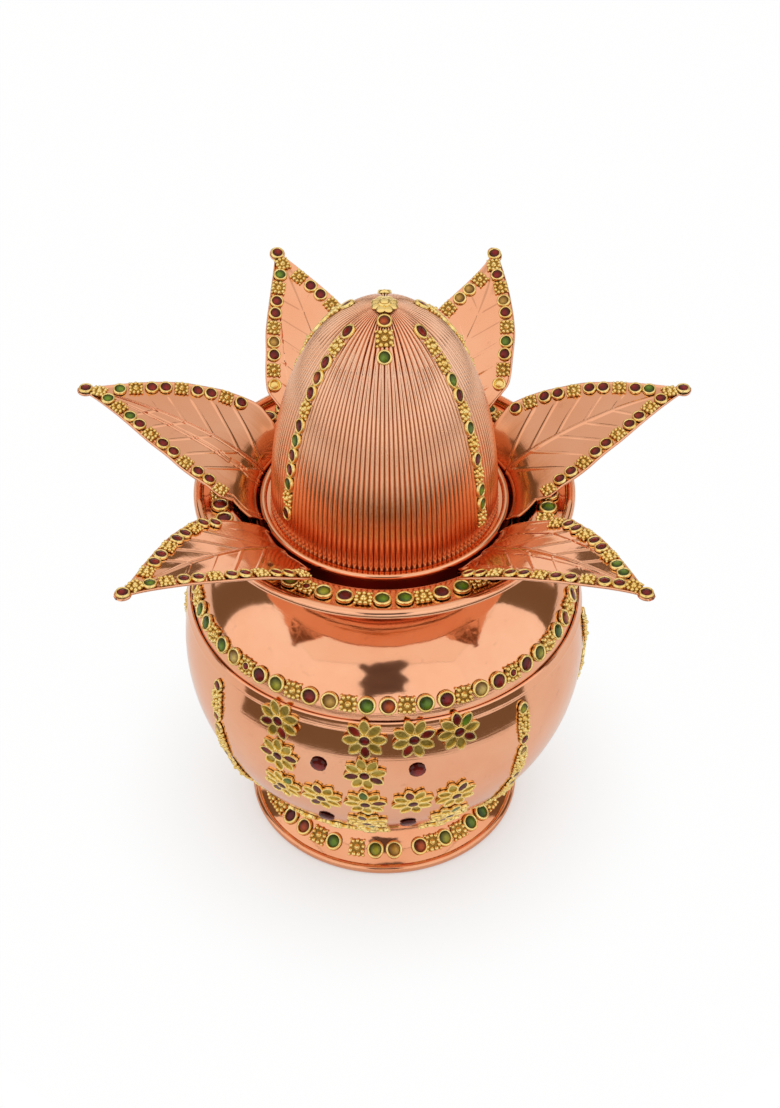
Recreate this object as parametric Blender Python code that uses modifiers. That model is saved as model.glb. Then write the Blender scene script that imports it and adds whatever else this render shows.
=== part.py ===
"""Copper kalash: a spun pot, a crown of mango leaves in its mouth, and a ribbed coconut lid.

Metres, +Z up. The origin is on the pot's axis, at the surface that it stands on. The front is -Y, and an
azimuth is counted from the front towards +X.
"""
import math

import bmesh
import bpy
from mathutils import Vector

# Stock and fits
SHEET = 0.0012
LEAF_SHEET = 0.0008
TRIM_SHEET = 0.0010
SEAT_GAP = 0.0003
LIFT_GAP = 0.0004
TURN_STEPS = 40
MERGE = 0.00001

# Foot: a flared ring with a rolled edge
FOOT_RADIUS = 0.0528
FOOT_TOP_RADIUS = 0.0404
FOOT_ROLL = 0.0017
FOOT_FLAT = 0.0018
FOOT_FLARE_RADIUS = 0.0494
FOOT_FLARE_Z = 0.0042
FOOT_WAIST_RADIUS = 0.0414
FOOT_WAIST_Z = 0.0096

# Bowl and shoulder, two spun halves that meet at the waist
BOWL_RADIUS = 0.0760
BOWL_FLOOR_Z = 0.0051
WAIST_LATITUDE = math.radians(15.8)
WAIST_BAND_HEIGHT = 0.0046
WAIST_BAND_SHEET = 0.0006
SHOULDER_CURVE = 0.0450

# Mouth: a neck that flares to a flat flange with a rolled lip
NECK_RADIUS = 0.0470
NECK_STRAIGHT = 0.0040
MOUTH_RISE = 0.0202
MOUTH_RADIUS = 0.0696
FLANGE_WIDTH = 0.0126
LIP_ROLL = 0.0019

# Crown: a collar that stands in the neck and carries the leaves
COLLAR_DEPTH = 0.0084
COLLAR_LEDGE = 0.0010
LEAF_ROOT_RADIUS = 0.0456
LEAF_HALF_WIDTH = 0.0250
LEAF_ROOT_HALF_WIDTH = 0.0120
LEAF_WIDEST = 0.12
LEAF_TAPER = 1.17
LEAF_ROOT_SLOPE = math.radians(48.6)
LEAF_TIP_SLOPE = math.radians(6.7)
LEAF_BEND = 0.68
LEAF_NECK_STEEPENING = math.radians(36.0)
LEAF_NECK_SHARE = 0.20
LEAF_ROLL_SHARE = 0.4
LEAF_CUP = 0.0012
LEAF_MIDRIB = 0.0008
LEAF_MIDRIB_SHARE = 0.12
LEAF_SPACING = 0.0005
LEAF_ROWS = 12
LEAF_ROW_CROWDING = 1.3
LEAF_MOUTH_GAP = 0.0006
LEAF_COLUMNS = 6
LEAF_COLUMN_CROWDING = 1.5
# Azimuth, lift, length and roll of the leaves on the right; those on the left mirror them.
# A roll above zero raises the edge that is nearer to the front.
LEAF_PAIRS = {
    "front": (math.radians(48.0), math.radians(-4.5), 0.0845, math.radians(1.2)),
    "side": (math.radians(106.8), math.radians(-4.0), 0.0810, math.radians(-7.5)),
    "back": (math.radians(156.5), math.radians(13.0), 0.0793, math.radians(-4.3)),
}
# Leaves that bow sideways between root and tip; above zero bows towards a larger azimuth.
LEAF_BOWS = {"back_right": -0.0050}

# Coconut: a ribbed dome that stands in a dish, whose neck drops into the collar
COCONUT_NECK_RADIUS = 0.0400
COCONUT_NECK_DEPTH = 0.0090
DISH_RADIUS = 0.0456
DISH_ROLL = 0.0013
DISH_RISE = 0.0037
DOME_RADIUS = 0.0415
DOME_HEIGHT = 0.0860
DOME_CROWN_POWER = 2.15
DOME_SIDE_POWER = 1.93
DOME_RIBS = 60
DOME_RIB_DEPTH = 0.0007
DOME_ROWS = 8
DOME_INNER_ROWS = 5
FLOWER_RADIUS = 0.0068
FLOWER_HEIGHT = 0.0024
FLOWER_PETALS = 8
FLOWER_NOTCH = 0.0012

# Gilt stone trim
TRIM_WIDTH = 0.0062
LEAF_TRIM_INSET = 0.0004
LEAF_TRIM_SKIPPED_ROWS = 2
LEAF_TRIM_NOTCH = 0.0005
WAIST_TRIM_RISE = 0.0062
MOUTH_TRIM_RADIUS = 0.0602
FOOT_TRIM_SHARE = 0.75
BOWL_TRIM_COUNT = 7
BOWL_TRIM_FRONT_TURN = math.radians(-6.0)
BOWL_TRIM_FRONT_GAP = math.radians(96.0)
BOWL_TRIM_TOP = math.radians(11.5)
BOWL_TRIM_FOOT = math.radians(-50.0)
BOWL_TRIM_ROWS = 10
COCONUT_TRIM_COUNT = 6
COCONUT_TRIM_TOP_SHARE = 0.97
COCONUT_TRIM_FOOT_SHARE = 0.04
COCONUT_TRIM_FRONT_FOOT_SHARE = 0.86
COCONUT_TRIM_ROWS = 14

COPPER = ("copper", (0.80, 0.43, 0.30, 1.0), 0.18)
LEAF_COPPER = ("leaf_copper", (0.82, 0.47, 0.33, 1.0), 0.24)
GILT = ("gilt", (0.74, 0.55, 0.18, 1.0), 0.32)

# Heights and radii that follow from the sizes above
bowl_z = BOWL_FLOOR_Z + BOWL_RADIUS
waist_radius = BOWL_RADIUS * math.cos(WAIST_LATITUDE)
waist_z = bowl_z + BOWL_RADIUS * math.sin(WAIST_LATITUDE)
shoulder_centre = Vector((
    waist_radius - SHOULDER_CURVE * math.cos(WAIST_LATITUDE),
    waist_z - SHOULDER_CURVE * math.sin(WAIST_LATITUDE),
))
collar_radius = NECK_RADIUS - LIFT_GAP
shoulder_hole_radius = collar_radius - SHEET - COLLAR_LEDGE


def shoulder_height(radius):
    """Height of the shoulder's outer face at a radius."""
    across = radius - shoulder_centre.x
    return shoulder_centre.y + math.sqrt(SHOULDER_CURVE ** 2 - across ** 2)


mouth_z = shoulder_height(NECK_RADIUS) + MOUTH_RISE
flange_radius = MOUTH_RADIUS - FLANGE_WIDTH
flare_z = shoulder_height(NECK_RADIUS) + SEAT_GAP + NECK_STRAIGHT
collar_top_z = mouth_z - COLLAR_DEPTH
leaf_root_z = collar_top_z + SEAT_GAP + LEAF_SHEET / 2
dish_under_z = collar_top_z + DISH_RISE
dome_base_z = dish_under_z + SHEET + SEAT_GAP

for old in list(bpy.data.objects):
    bpy.data.objects.remove(old, do_unlink=True)

kalash = bpy.data.collections.new("kalash_pot")
bpy.context.scene.collection.children.link(kalash)


def finish(colour):
    """The material of one finish, made once."""
    name, base, roughness = colour
    material = bpy.data.materials.get(name)
    if material is None:
        material = bpy.data.materials.new(name)
        material.use_nodes = True
        shader = material.node_tree.nodes["Principled BSDF"]
        shader.inputs["Base Color"].default_value = base
        shader.inputs["Roughness"].default_value = roughness
        shader.inputs["Metallic"].default_value = 1.0
    return material


def axis_empty(name, parent=None):
    """An empty on the pot's axis, which a body that lifts out hangs on."""
    empty = bpy.data.objects.new(name, None)
    kalash.objects.link(empty)
    empty.parent = parent
    return empty


crown_axis = axis_empty("leaf_crown_axis")
coconut_axis = axis_empty("coconut_axis", crown_axis)


def add_part(name, bm, colour, parent=None):
    """A named part from a bmesh."""
    mesh = bpy.data.meshes.new(name)
    bm.to_mesh(mesh)
    bm.free()
    mesh.materials.append(finish(colour))
    mesh.shade_smooth()
    mesh.set_sharp_from_angle(angle=math.radians(40))
    part = bpy.data.objects.new(name, mesh)
    part.parent = parent
    kalash.objects.link(part)
    return part


def turned(name, profile, colour, parent=None, on_axis=False):
    """A turned part: its profile runs up the inside and down the outside."""
    bm = bmesh.new()
    points = [bm.verts.new((radius, 0.0, height)) for radius, height in profile]
    for first, second in zip(points, points[1:]):
        bm.edges.new((first, second))
    if not on_axis:
        bm.edges.new((points[-1], points[0]))
    part = add_part(name, bm, colour, parent)
    screw = part.modifiers.new("Turn", "SCREW")
    screw.axis = "Z"
    screw.angle = math.tau
    screw.steps = TURN_STEPS
    screw.render_steps = TURN_STEPS
    screw.use_merge_vertices = True
    screw.merge_threshold = MERGE
    screw.use_smooth_shade = True
    return part


def formed_sheet(name, columns, rows, place, thickness, colour, parent=None):
    """A sheet bent to a surface: place gives the point at (along, across), each from -1 to 1."""
    bm = bmesh.new()
    bmesh.ops.create_grid(bm, x_segments=rows, y_segments=columns, size=1.0)
    for vert in bm.verts:
        vert.co = place(vert.co.x, vert.co.y)
    bmesh.ops.remove_doubles(bm, verts=bm.verts, dist=MERGE)
    bmesh.ops.dissolve_degenerate(bm, edges=bm.edges, dist=MERGE)
    part = add_part(name, bm, colour, parent)
    solid = part.modifiers.new("Sheet", "SOLIDIFY")
    solid.thickness = thickness
    solid.offset = 0.0
    return part


def arc(centre, radius, first, last, count):
    """Points on an arc in the profile plane, both ends included."""
    step = (last - first) / count
    angles = [first + step * i for i in range(count + 1)]
    return [(centre[0] + radius * math.cos(a), centre[1] + radius * math.sin(a)) for a in angles]


def at_azimuth(radius, azimuth, height):
    """A point at an azimuth from the front."""
    return Vector((radius * math.sin(azimuth), -radius * math.cos(azimuth), height))


# Foot
foot_top_z = bowl_z - math.sqrt((BOWL_RADIUS + SEAT_GAP) ** 2 - FOOT_TOP_RADIUS ** 2)


def foot_face(place, offset=0.0):
    """A point of the foot's flared face from top (0) to the rolled edge (1), moved out by offset."""
    top = Vector((FOOT_TOP_RADIUS, foot_top_z))
    bend = Vector((FOOT_WAIST_RADIUS, FOOT_WAIST_Z))
    low = Vector((FOOT_FLARE_RADIUS, FOOT_FLARE_Z))
    point = top * (1 - place) ** 2 + bend * 2 * place * (1 - place) + low * place ** 2
    along = (bend - top) * (1 - place) + (low - bend) * place
    outward = Vector((-along.y, along.x)).normalized()
    return point + outward * offset


def make_foot():
    places = [i / 4 for i in range(5)]
    roll = (FOOT_RADIUS - FOOT_ROLL, FOOT_ROLL)
    outside = [foot_face(place) for place in places]
    edge = arc(roll, FOOT_ROLL, math.radians(100), math.radians(-60), 4)
    rest = [(roll[0] + FOOT_FLAT / 2, 0.0), (roll[0] - FOOT_FLAT / 2, 0.0)]
    inside = [foot_face(place, -SHEET) for place in reversed(places)]
    inside_top = bowl_z - math.sqrt((BOWL_RADIUS + SEAT_GAP) ** 2 - inside[-1].x ** 2)
    inside[-1] = (inside[-1].x, inside_top)
    return turned("foot_ring", outside + edge + rest + inside, COPPER)


# Bowl, shoulder and the band over their seam
def bowl_point(latitude, radius):
    return (radius * math.cos(latitude), bowl_z + radius * math.sin(latitude))


def make_bowl():
    low = -math.pi / 2
    count = 10
    edge_latitude = WAIST_LATITUDE - SEAT_GAP / BOWL_RADIUS / 2
    inside = arc((0.0, bowl_z), BOWL_RADIUS - SHEET, low, edge_latitude, count)
    outside = arc((0.0, bowl_z), BOWL_RADIUS, edge_latitude, low, count)
    inside[0] = (0.0, inside[0][1])
    outside[-1] = (0.0, outside[-1][1])
    return turned("lower_bowl", inside + outside, COPPER, on_axis=True)


def make_shoulder():
    count = 6
    start = WAIST_LATITUDE + SEAT_GAP / SHOULDER_CURVE / 2
    stop = math.acos((shoulder_hole_radius - shoulder_centre.x) / SHOULDER_CURVE)
    inside = arc(shoulder_centre, SHOULDER_CURVE - SHEET, start, stop, count)
    outside = arc(shoulder_centre, SHOULDER_CURVE, stop, start, count)
    return turned("upper_shoulder", inside + outside, COPPER)


def make_waist_band():
    half = WAIST_BAND_HEIGHT / 2
    inner = []
    for rise in (-half, 0.0, half):
        centre, curve = ((0.0, bowl_z), BOWL_RADIUS) if rise < 0 else (shoulder_centre, SHOULDER_CURVE)
        angle = WAIST_LATITUDE + rise / curve
        reach = curve + SEAT_GAP
        inner.append((centre[0] + reach * math.cos(angle), centre[1] + reach * math.sin(angle)))
    outer = [(radius + WAIST_BAND_SHEET, height) for radius, height in reversed(inner)]
    return turned("waist_band", inner + outer, COPPER)


# Mouth
def mouth_inner_radius(height):
    """Radius of the mouth's inner face at a height; above the trim nothing is in the way."""
    if height > mouth_z + SEAT_GAP + TRIM_SHEET + LEAF_SHEET + LEAF_MOUTH_GAP:
        return math.inf
    share = min(max((height - flare_z) / (mouth_z - flare_z), 0.0), 1.0)
    return flange_radius - (flange_radius - NECK_RADIUS) * math.sqrt(1 - share ** 2)


def make_mouth():
    foot_z = shoulder_height(NECK_RADIUS) + SEAT_GAP
    reach = flange_radius - NECK_RADIUS
    rise = mouth_z - flare_z
    top, under = [], []
    for i in range(6):
        angle = i / 5 * math.pi / 2
        point = Vector((flange_radius - reach * math.cos(angle), flare_z + rise * math.sin(angle)))
        outward = Vector((rise * math.cos(angle), -reach * math.sin(angle))).normalized()
        top.append(point)
        under.append(point + outward * SHEET)
    roll = (MOUTH_RADIUS - LIP_ROLL, mouth_z - SHEET + LIP_ROLL)
    lip = arc(roll, LIP_ROLL, math.radians(200), math.radians(-90), 6)
    outer_foot = (NECK_RADIUS + SHEET, shoulder_height(NECK_RADIUS) + SEAT_GAP)
    profile = [(NECK_RADIUS, foot_z)] + top + lip + list(reversed(under)) + [outer_foot]
    return turned("mouth_rim", profile, COPPER)


# Leaf crown
def make_collar():
    hole = COCONUT_NECK_RADIUS + LIFT_GAP
    inner = collar_radius - SHEET
    profile = [
        (inner, shoulder_height(inner) + SEAT_GAP),
        (inner, collar_top_z - SHEET),
        (hole, collar_top_z - SHEET),
        (hole, collar_top_z),
        (collar_radius, collar_top_z),
        (collar_radius, shoulder_height(inner) + SEAT_GAP),
    ]
    return turned("crown_collar", profile, COPPER, crown_axis)


def leaf_slope(place, lift):
    """Slope of the leaf's middle line, from root (0) to tip (1)."""
    neck = LEAF_NECK_STEEPENING * max(0.0, 1 - place / LEAF_NECK_SHARE) ** 2
    return lift + neck + LEAF_ROOT_SLOPE + (LEAF_TIP_SLOPE - LEAF_ROOT_SLOPE) * place ** LEAF_BEND


def leaf_place(row):
    """Share of the leaf's length at a row; the rows crowd towards the root."""
    return (row / LEAF_ROWS) ** LEAF_ROW_CROWDING


def leaf_line(lift, length):
    """The leaf's middle line from root to tip: radius, height and slope at each row."""
    radius, height = LEAF_ROOT_RADIUS, leaf_root_z
    line = [(radius, height, leaf_slope(0.0, lift))]
    for row in range(LEAF_ROWS):
        first, last = leaf_place(row), leaf_place(row + 1)
        step = (last - first) * length
        middle = leaf_slope((first + last) / 2, lift)
        radius += step * math.cos(middle)
        height += step * math.sin(middle)
        line.append((radius, height, leaf_slope(last, lift)))
    return line


def leaf_half_width(place):
    """Half the blade's width, from root (0) to tip (1)."""
    if place < LEAF_WIDEST:
        growth = math.sin(math.pi / 2 * place / LEAF_WIDEST)
        return LEAF_ROOT_HALF_WIDTH + (LEAF_HALF_WIDTH - LEAF_ROOT_HALF_WIDTH) * growth
    fall = math.cos(math.pi / 2 * (place - LEAF_WIDEST) / (1 - LEAF_WIDEST))
    return LEAF_HALF_WIDTH * max(fall, 0.0) ** LEAF_TAPER


def leaf_bow(leaf, place):
    """How far the middle line stands aside, most at two thirds of the length."""
    peak = 2 / 3
    return leaf["bow"] * place ** 2 * (1 - place) / (peak ** 2 * (1 - peak))


def leaf_surface(leaf):
    """Functions for a leaf: a point at (row, across, proud), and half its width at (row, side)."""
    line = leaf_line(leaf["lift"], leaf["length"])
    outward = at_azimuth(1.0, leaf["azimuth"], 0.0)
    sideways = at_azimuth(1.0, leaf["azimuth"] + math.pi / 2, 0.0)
    tilt = LEAF_HALF_WIDTH * abs(math.sin(leaf["roll"]))
    highest = LEAF_CUP + LEAF_SHEET + SEAT_GAP + TRIM_SHEET + tilt

    def edge(row, side):
        radius, height, slope = line[row]
        room = (radius - highest * math.sin(slope)) * math.tan(leaf["rooms"][side]) - LEAF_SPACING
        room -= max(0.0, leaf_bow(leaf, leaf_place(row)) * (1 if side else -1))
        mouth = mouth_inner_radius(height) - LEAF_MOUTH_GAP - LEAF_SHEET
        mouth_room = math.sqrt(max(mouth ** 2 - radius ** 2, MERGE))
        return min(leaf_half_width(leaf_place(row)), room, mouth_room)

    def point(row, across, proud=0.0):
        radius, height, slope = line[row]
        half = edge(row, 1 if across > 0 else 0)
        cup = LEAF_CUP * half / LEAF_HALF_WIDTH * across ** 2
        crest = max(0.0, 1 - abs(across) / LEAF_MIDRIB_SHARE)
        ridge = LEAF_MIDRIB * math.sin(math.pi * leaf_place(row)) * crest
        roll = leaf["roll"] * min(1.0, leaf_place(row) / LEAF_ROLL_SHARE)
        lift_off = cup + ridge + proud + across * half * math.sin(roll)
        aside = across * half * math.cos(roll) + leaf_bow(leaf, leaf_place(row))
        flat = outward * (radius - lift_off * math.sin(slope)) + sideways * aside
        return flat + Vector((0.0, 0.0, height + lift_off * math.cos(slope)))

    return point, edge


def make_leaf(leaf):
    point, edge = leaf_surface(leaf)

    def blade(along, across):
        row = round((along + 1) / 2 * LEAF_ROWS)
        return point(row, math.copysign(abs(across) ** LEAF_COLUMN_CROWDING, across))

    def border(along, across):
        rows = LEAF_ROWS - LEAF_TRIM_SKIPPED_ROWS
        row = LEAF_ROWS - round(abs(along) * rows)
        half = edge(row, 1 if along > 0 else 0)
        width = LEAF_TRIM_INSET if across > 0 else LEAF_TRIM_INSET + TRIM_WIDTH
        rest = half - width
        share = rest / half if rest > LEAF_TRIM_NOTCH else 0.0
        proud = LEAF_SHEET / 2 + SEAT_GAP + TRIM_SHEET / 2
        return point(row, math.copysign(share, along), proud)

    name = leaf["name"]
    formed_sheet("mango_leaf_" + name, LEAF_COLUMNS, LEAF_ROWS, blade, LEAF_SHEET, LEAF_COPPER, crown_axis)
    border_rows = 2 * (LEAF_ROWS - LEAF_TRIM_SKIPPED_ROWS)
    formed_sheet("leaf_trim_" + name, 1, border_rows, border, TRIM_SHEET, GILT, crown_axis)


def make_leaves():
    leaves = []
    for place, (azimuth, lift, length, roll) in LEAF_PAIRS.items():
        for side, name in ((-1, "_left"), (1, "_right")):
            leaves.append({
                "name": place + name, "azimuth": side * azimuth, "lift": lift,
                "length": length, "roll": -side * roll, "bow": LEAF_BOWS.get(place + name, 0.0),
            })
    leaves.sort(key=lambda leaf: leaf["azimuth"])
    for i, leaf in enumerate(leaves):
        before = leaf["azimuth"] - leaves[i - 1]["azimuth"]
        after = leaves[(i + 1) % len(leaves)]["azimuth"] - leaf["azimuth"]
        leaf["rooms"] = (before % math.tau / 2, after % math.tau / 2)
        make_leaf(leaf)


# Coconut
def make_dish():
    neck_inner = COCONUT_NECK_RADIUS - SHEET
    neck_foot_z = collar_top_z - COCONUT_NECK_DEPTH
    floor_z = dish_under_z + SHEET
    roll = (DISH_RADIUS - DISH_ROLL, dish_under_z + DISH_ROLL)
    edge = arc(roll, DISH_ROLL, math.radians(175), math.radians(-90), 5)
    profile = [(neck_inner, neck_foot_z), (neck_inner, floor_z)] + edge
    profile += [(COCONUT_NECK_RADIUS, dish_under_z), (COCONUT_NECK_RADIUS, neck_foot_z)]
    return turned("coconut_base", profile, COPPER, coconut_axis)


def dome_radius(rise):
    """Radius of the dome's rib crests at a share of its height."""
    return DOME_RADIUS * max(0.0, 1 - rise ** DOME_CROWN_POWER) ** (1 / DOME_SIDE_POWER)


def dome_rise(share):
    """Share of the height at a row, with rows closing up towards the crown."""
    return math.sin(share * math.pi / 2)


def dome_share(rise):
    """The row share that stands at a share of the height."""
    return math.asin(rise) / (math.pi / 2)


def make_dome():
    """The hollow dome as one sheet: up its smooth inside, over the hem and up its ribbed outside."""
    bm = bmesh.new()
    columns = 2 * DOME_RIBS
    rows = DOME_INNER_ROWS + DOME_ROWS
    bmesh.ops.create_grid(bm, x_segments=columns, y_segments=rows, size=1.0)
    for vert in bm.verts:
        column = round((vert.co.x + 1) / 2 * columns)
        row = round((vert.co.y + 1) / 2 * rows) - DOME_INNER_ROWS
        outside = row > 0
        rise = dome_rise((row - 1) / (DOME_ROWS - 1) if outside else -row / DOME_INNER_ROWS)
        valley = DOME_RIB_DEPTH * (1 - rise) if column % 2 else 0.0
        inset = valley if outside else SHEET + DOME_RIB_DEPTH
        height = DOME_HEIGHT if outside else DOME_HEIGHT - SHEET - DOME_RIB_DEPTH
        radius = max(0.0, dome_radius(rise) - inset)
        vert.co = at_azimuth(radius, math.tau * column / columns, dome_base_z + rise * height)
    bmesh.ops.remove_doubles(bm, verts=bm.verts, dist=MERGE)
    bmesh.ops.recalc_face_normals(bm, faces=bm.faces)
    return add_part("coconut_shell", bm, COPPER, coconut_axis)


def make_flower():
    """A gilt rosette with scalloped petals on the crown of the dome."""
    bm = bmesh.new()
    segments = FLOWER_PETALS * 6
    base_z = dome_base_z + DOME_HEIGHT + SEAT_GAP
    bmesh.ops.create_cone(
        bm, cap_ends=True, segments=segments, radius1=FLOWER_RADIUS, radius2=FLOWER_RADIUS / 2,
        depth=FLOWER_HEIGHT)
    for vert in bm.verts:
        petal = abs(math.sin(FLOWER_PETALS / 2 * math.atan2(vert.co.y, vert.co.x)))
        reach = vert.co.xy.length
        scale = (reach - FLOWER_NOTCH * (1 - petal)) / reach
        vert.co.x *= scale
        vert.co.y *= scale
        vert.co.z += base_z + FLOWER_HEIGHT / 2
    return add_part("apex_flower", bm, GILT, coconut_axis)


# Gilt trim
def trim_ring(name, centre_line):
    """A trim band around the pot: centre_line gives (radius, height) at an offset along and off its seat."""
    half = TRIM_WIDTH / 2
    inner = [centre_line(along, SEAT_GAP) for along in (-half, 0.0, half)]
    outer = [centre_line(along, SEAT_GAP + TRIM_SHEET) for along in (half, 0.0, -half)]
    return turned(name, inner + outer, GILT)


def on_shoulder(along, proud):
    angle = WAIST_LATITUDE + (WAIST_TRIM_RISE + WAIST_BAND_HEIGHT / 2 + along) / SHOULDER_CURVE
    reach = SHOULDER_CURVE + proud
    return (shoulder_centre.x + reach * math.cos(angle), shoulder_centre.y + reach * math.sin(angle))


def on_flange(along, proud):
    return (MOUTH_TRIM_RADIUS - along, mouth_z + proud)


def on_foot(along, proud):
    length = (foot_face(1.0) - foot_face(0.0)).length
    return foot_face(FOOT_TRIM_SHARE - along / length, proud)


def make_bowl_trims():
    reach = BOWL_RADIUS + SEAT_GAP + TRIM_SHEET / 2
    pitch = (math.tau - BOWL_TRIM_FRONT_GAP) / (BOWL_TRIM_COUNT - 1)
    for i in range(BOWL_TRIM_COUNT):
        turn = BOWL_TRIM_FRONT_TURN + BOWL_TRIM_FRONT_GAP / 2 + pitch * i

        def strip(along, across):
            latitude = BOWL_TRIM_TOP + (BOWL_TRIM_FOOT - BOWL_TRIM_TOP) * (along + 1) / 2
            radius, height = bowl_point(latitude, reach)
            return at_azimuth(radius, turn + across * TRIM_WIDTH / 2 / radius, height)

        formed_sheet("bowl_trim_%d" % (i + 1), 2, BOWL_TRIM_ROWS, strip, TRIM_SHEET, GILT)


def make_coconut_trims():
    proud = SEAT_GAP + TRIM_SHEET / 2
    for i in range(COCONUT_TRIM_COUNT):
        turn = math.tau * i / COCONUT_TRIM_COUNT
        foot = COCONUT_TRIM_FOOT_SHARE if i else COCONUT_TRIM_FRONT_FOOT_SHARE

        def strip(along, across):
            share = dome_share(COCONUT_TRIM_TOP_SHARE) * (1 - along) / 2 + dome_share(foot) * (1 + along) / 2
            rise = dome_rise(share)
            radius = dome_radius(rise)
            nudge = 0.001
            run = dome_radius(rise - nudge) - dome_radius(rise + nudge)
            outward = Vector((2 * nudge * DOME_HEIGHT, run)).normalized()
            height = dome_base_z + rise * DOME_HEIGHT + outward.y * proud
            return at_azimuth(radius + outward.x * proud, turn + across * TRIM_WIDTH / 2 / radius, height)

        name = "coconut_trim_%d" % (i + 1)
        formed_sheet(name, 2, COCONUT_TRIM_ROWS, strip, TRIM_SHEET, GILT, coconut_axis)


make_foot()
make_bowl()
make_shoulder()
make_waist_band()
make_mouth()
trim_ring("waist_trim", on_shoulder)
trim_ring("mouth_trim", on_flange)
trim_ring("foot_trim", on_foot)
make_bowl_trims()
make_collar()
make_leaves()
make_dish()
make_dome()
make_flower()
make_coconut_trims()
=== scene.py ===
import math
import random

import bmesh
import bpy
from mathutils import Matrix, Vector, noise


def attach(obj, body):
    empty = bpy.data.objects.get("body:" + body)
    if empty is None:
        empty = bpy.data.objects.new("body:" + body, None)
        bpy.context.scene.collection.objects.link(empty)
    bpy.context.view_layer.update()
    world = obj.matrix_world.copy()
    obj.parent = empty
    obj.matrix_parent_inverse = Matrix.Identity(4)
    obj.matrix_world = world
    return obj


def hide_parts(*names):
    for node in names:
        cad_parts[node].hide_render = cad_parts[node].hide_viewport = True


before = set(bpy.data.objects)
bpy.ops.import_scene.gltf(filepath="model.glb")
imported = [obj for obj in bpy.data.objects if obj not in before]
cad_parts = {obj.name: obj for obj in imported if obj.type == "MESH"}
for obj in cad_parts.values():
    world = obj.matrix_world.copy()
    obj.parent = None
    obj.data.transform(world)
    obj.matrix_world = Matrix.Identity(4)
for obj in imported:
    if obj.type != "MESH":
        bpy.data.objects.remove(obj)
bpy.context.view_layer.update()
random.seed(11)
scene = bpy.context.scene
print("frame loaded")

# camera at the photograph's angle
cameraView = {
    "elevation": 41.5, "distance": 0.9639, "target": 0.1197, "lens": 83.92, "sensor": 36.0, "shift": 0.00496,
}


def makeCamera(view):
    angle = math.radians(view["elevation"])
    data = bpy.data.cameras.new("camera")
    data.lens = view["lens"]
    data.sensor_width = view["sensor"]
    data.shift_x = view["shift"]
    camera = bpy.data.objects.new("camera", data)
    back = view["distance"] * math.cos(angle)
    rise = view["target"] + view["distance"] * math.sin(angle)
    camera.location = (0.0, -back, rise)
    camera.rotation_euler = (math.pi / 2 - angle, 0.0, 0.0)
    scene.collection.objects.link(camera)
    scene.camera = camera


makeCamera(cameraView)
print("camera placed")


# materials
def newMaterial(name):
    material = bpy.data.materials.new(name)
    material.use_nodes = True
    tree = material.node_tree
    return material, tree, tree.nodes["Principled BSDF"]


def feed(tree, node, values):
    for name, value in values.items():
        if isinstance(value, (int, float)):
            node.inputs[name].default_value = value
        else:
            tree.links.new(value, node.inputs[name])


def noiseNode(tree, vector, scale, detail=3.0, rough=0.5):
    node = tree.nodes.new("ShaderNodeTexNoise")
    feed(tree, node, {"Vector": vector, "Scale": scale, "Detail": detail, "Roughness": rough})
    return node.outputs["Fac"]


def rampNode(tree, factor, stops):
    node = tree.nodes.new("ShaderNodeValToRGB")
    ramp = node.color_ramp
    while len(ramp.elements) < len(stops):
        ramp.elements.new(0.5)
    for element, (place, colour) in zip(ramp.elements, stops):
        element.position = place
        element.color = (colour, colour, colour, 1.0) if isinstance(colour, float) else colour + (1.0,)
    tree.links.new(factor, node.inputs["Fac"])
    return node.outputs["Color"]


def mathNode(tree, operation, first, second=None):
    node = tree.nodes.new("ShaderNodeMath")
    node.operation = operation
    for socket, value in zip(node.inputs, (first, second)):
        if isinstance(value, (int, float)):
            socket.default_value = value
        elif value is not None:
            tree.links.new(value, socket)
    return node.outputs["Value"]


def mixColours(tree, factor, first, second):
    node = tree.nodes.new("ShaderNodeMix")
    node.data_type = "RGBA"
    for socket, value in zip((node.inputs[0], node.inputs[6], node.inputs[7]), (factor, first, second)):
        if isinstance(value, tuple):
            socket.default_value = value + (1.0,)
        elif isinstance(value, float):
            socket.default_value = value
        else:
            tree.links.new(value, socket)
    return node.outputs[2]


def bumpNode(tree, height, strength, distance):
    node = tree.nodes.new("ShaderNodeBump")
    feed(tree, node, {"Height": height, "Strength": strength, "Distance": distance})
    return node.outputs["Normal"]


def attributeNode(tree, name):
    node = tree.nodes.new("ShaderNodeAttribute")
    node.attribute_name = name
    return node.outputs["Fac"]


def objectPoint(tree):
    return tree.nodes.new("ShaderNodeTexCoord").outputs["Object"]


copperGrain = {
    "around": 14.0, "cloud": 34.0, "stain": 210.0, "dents": 150.0, "dentShare": 0.6, "bump": 0.0002,
}


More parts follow.
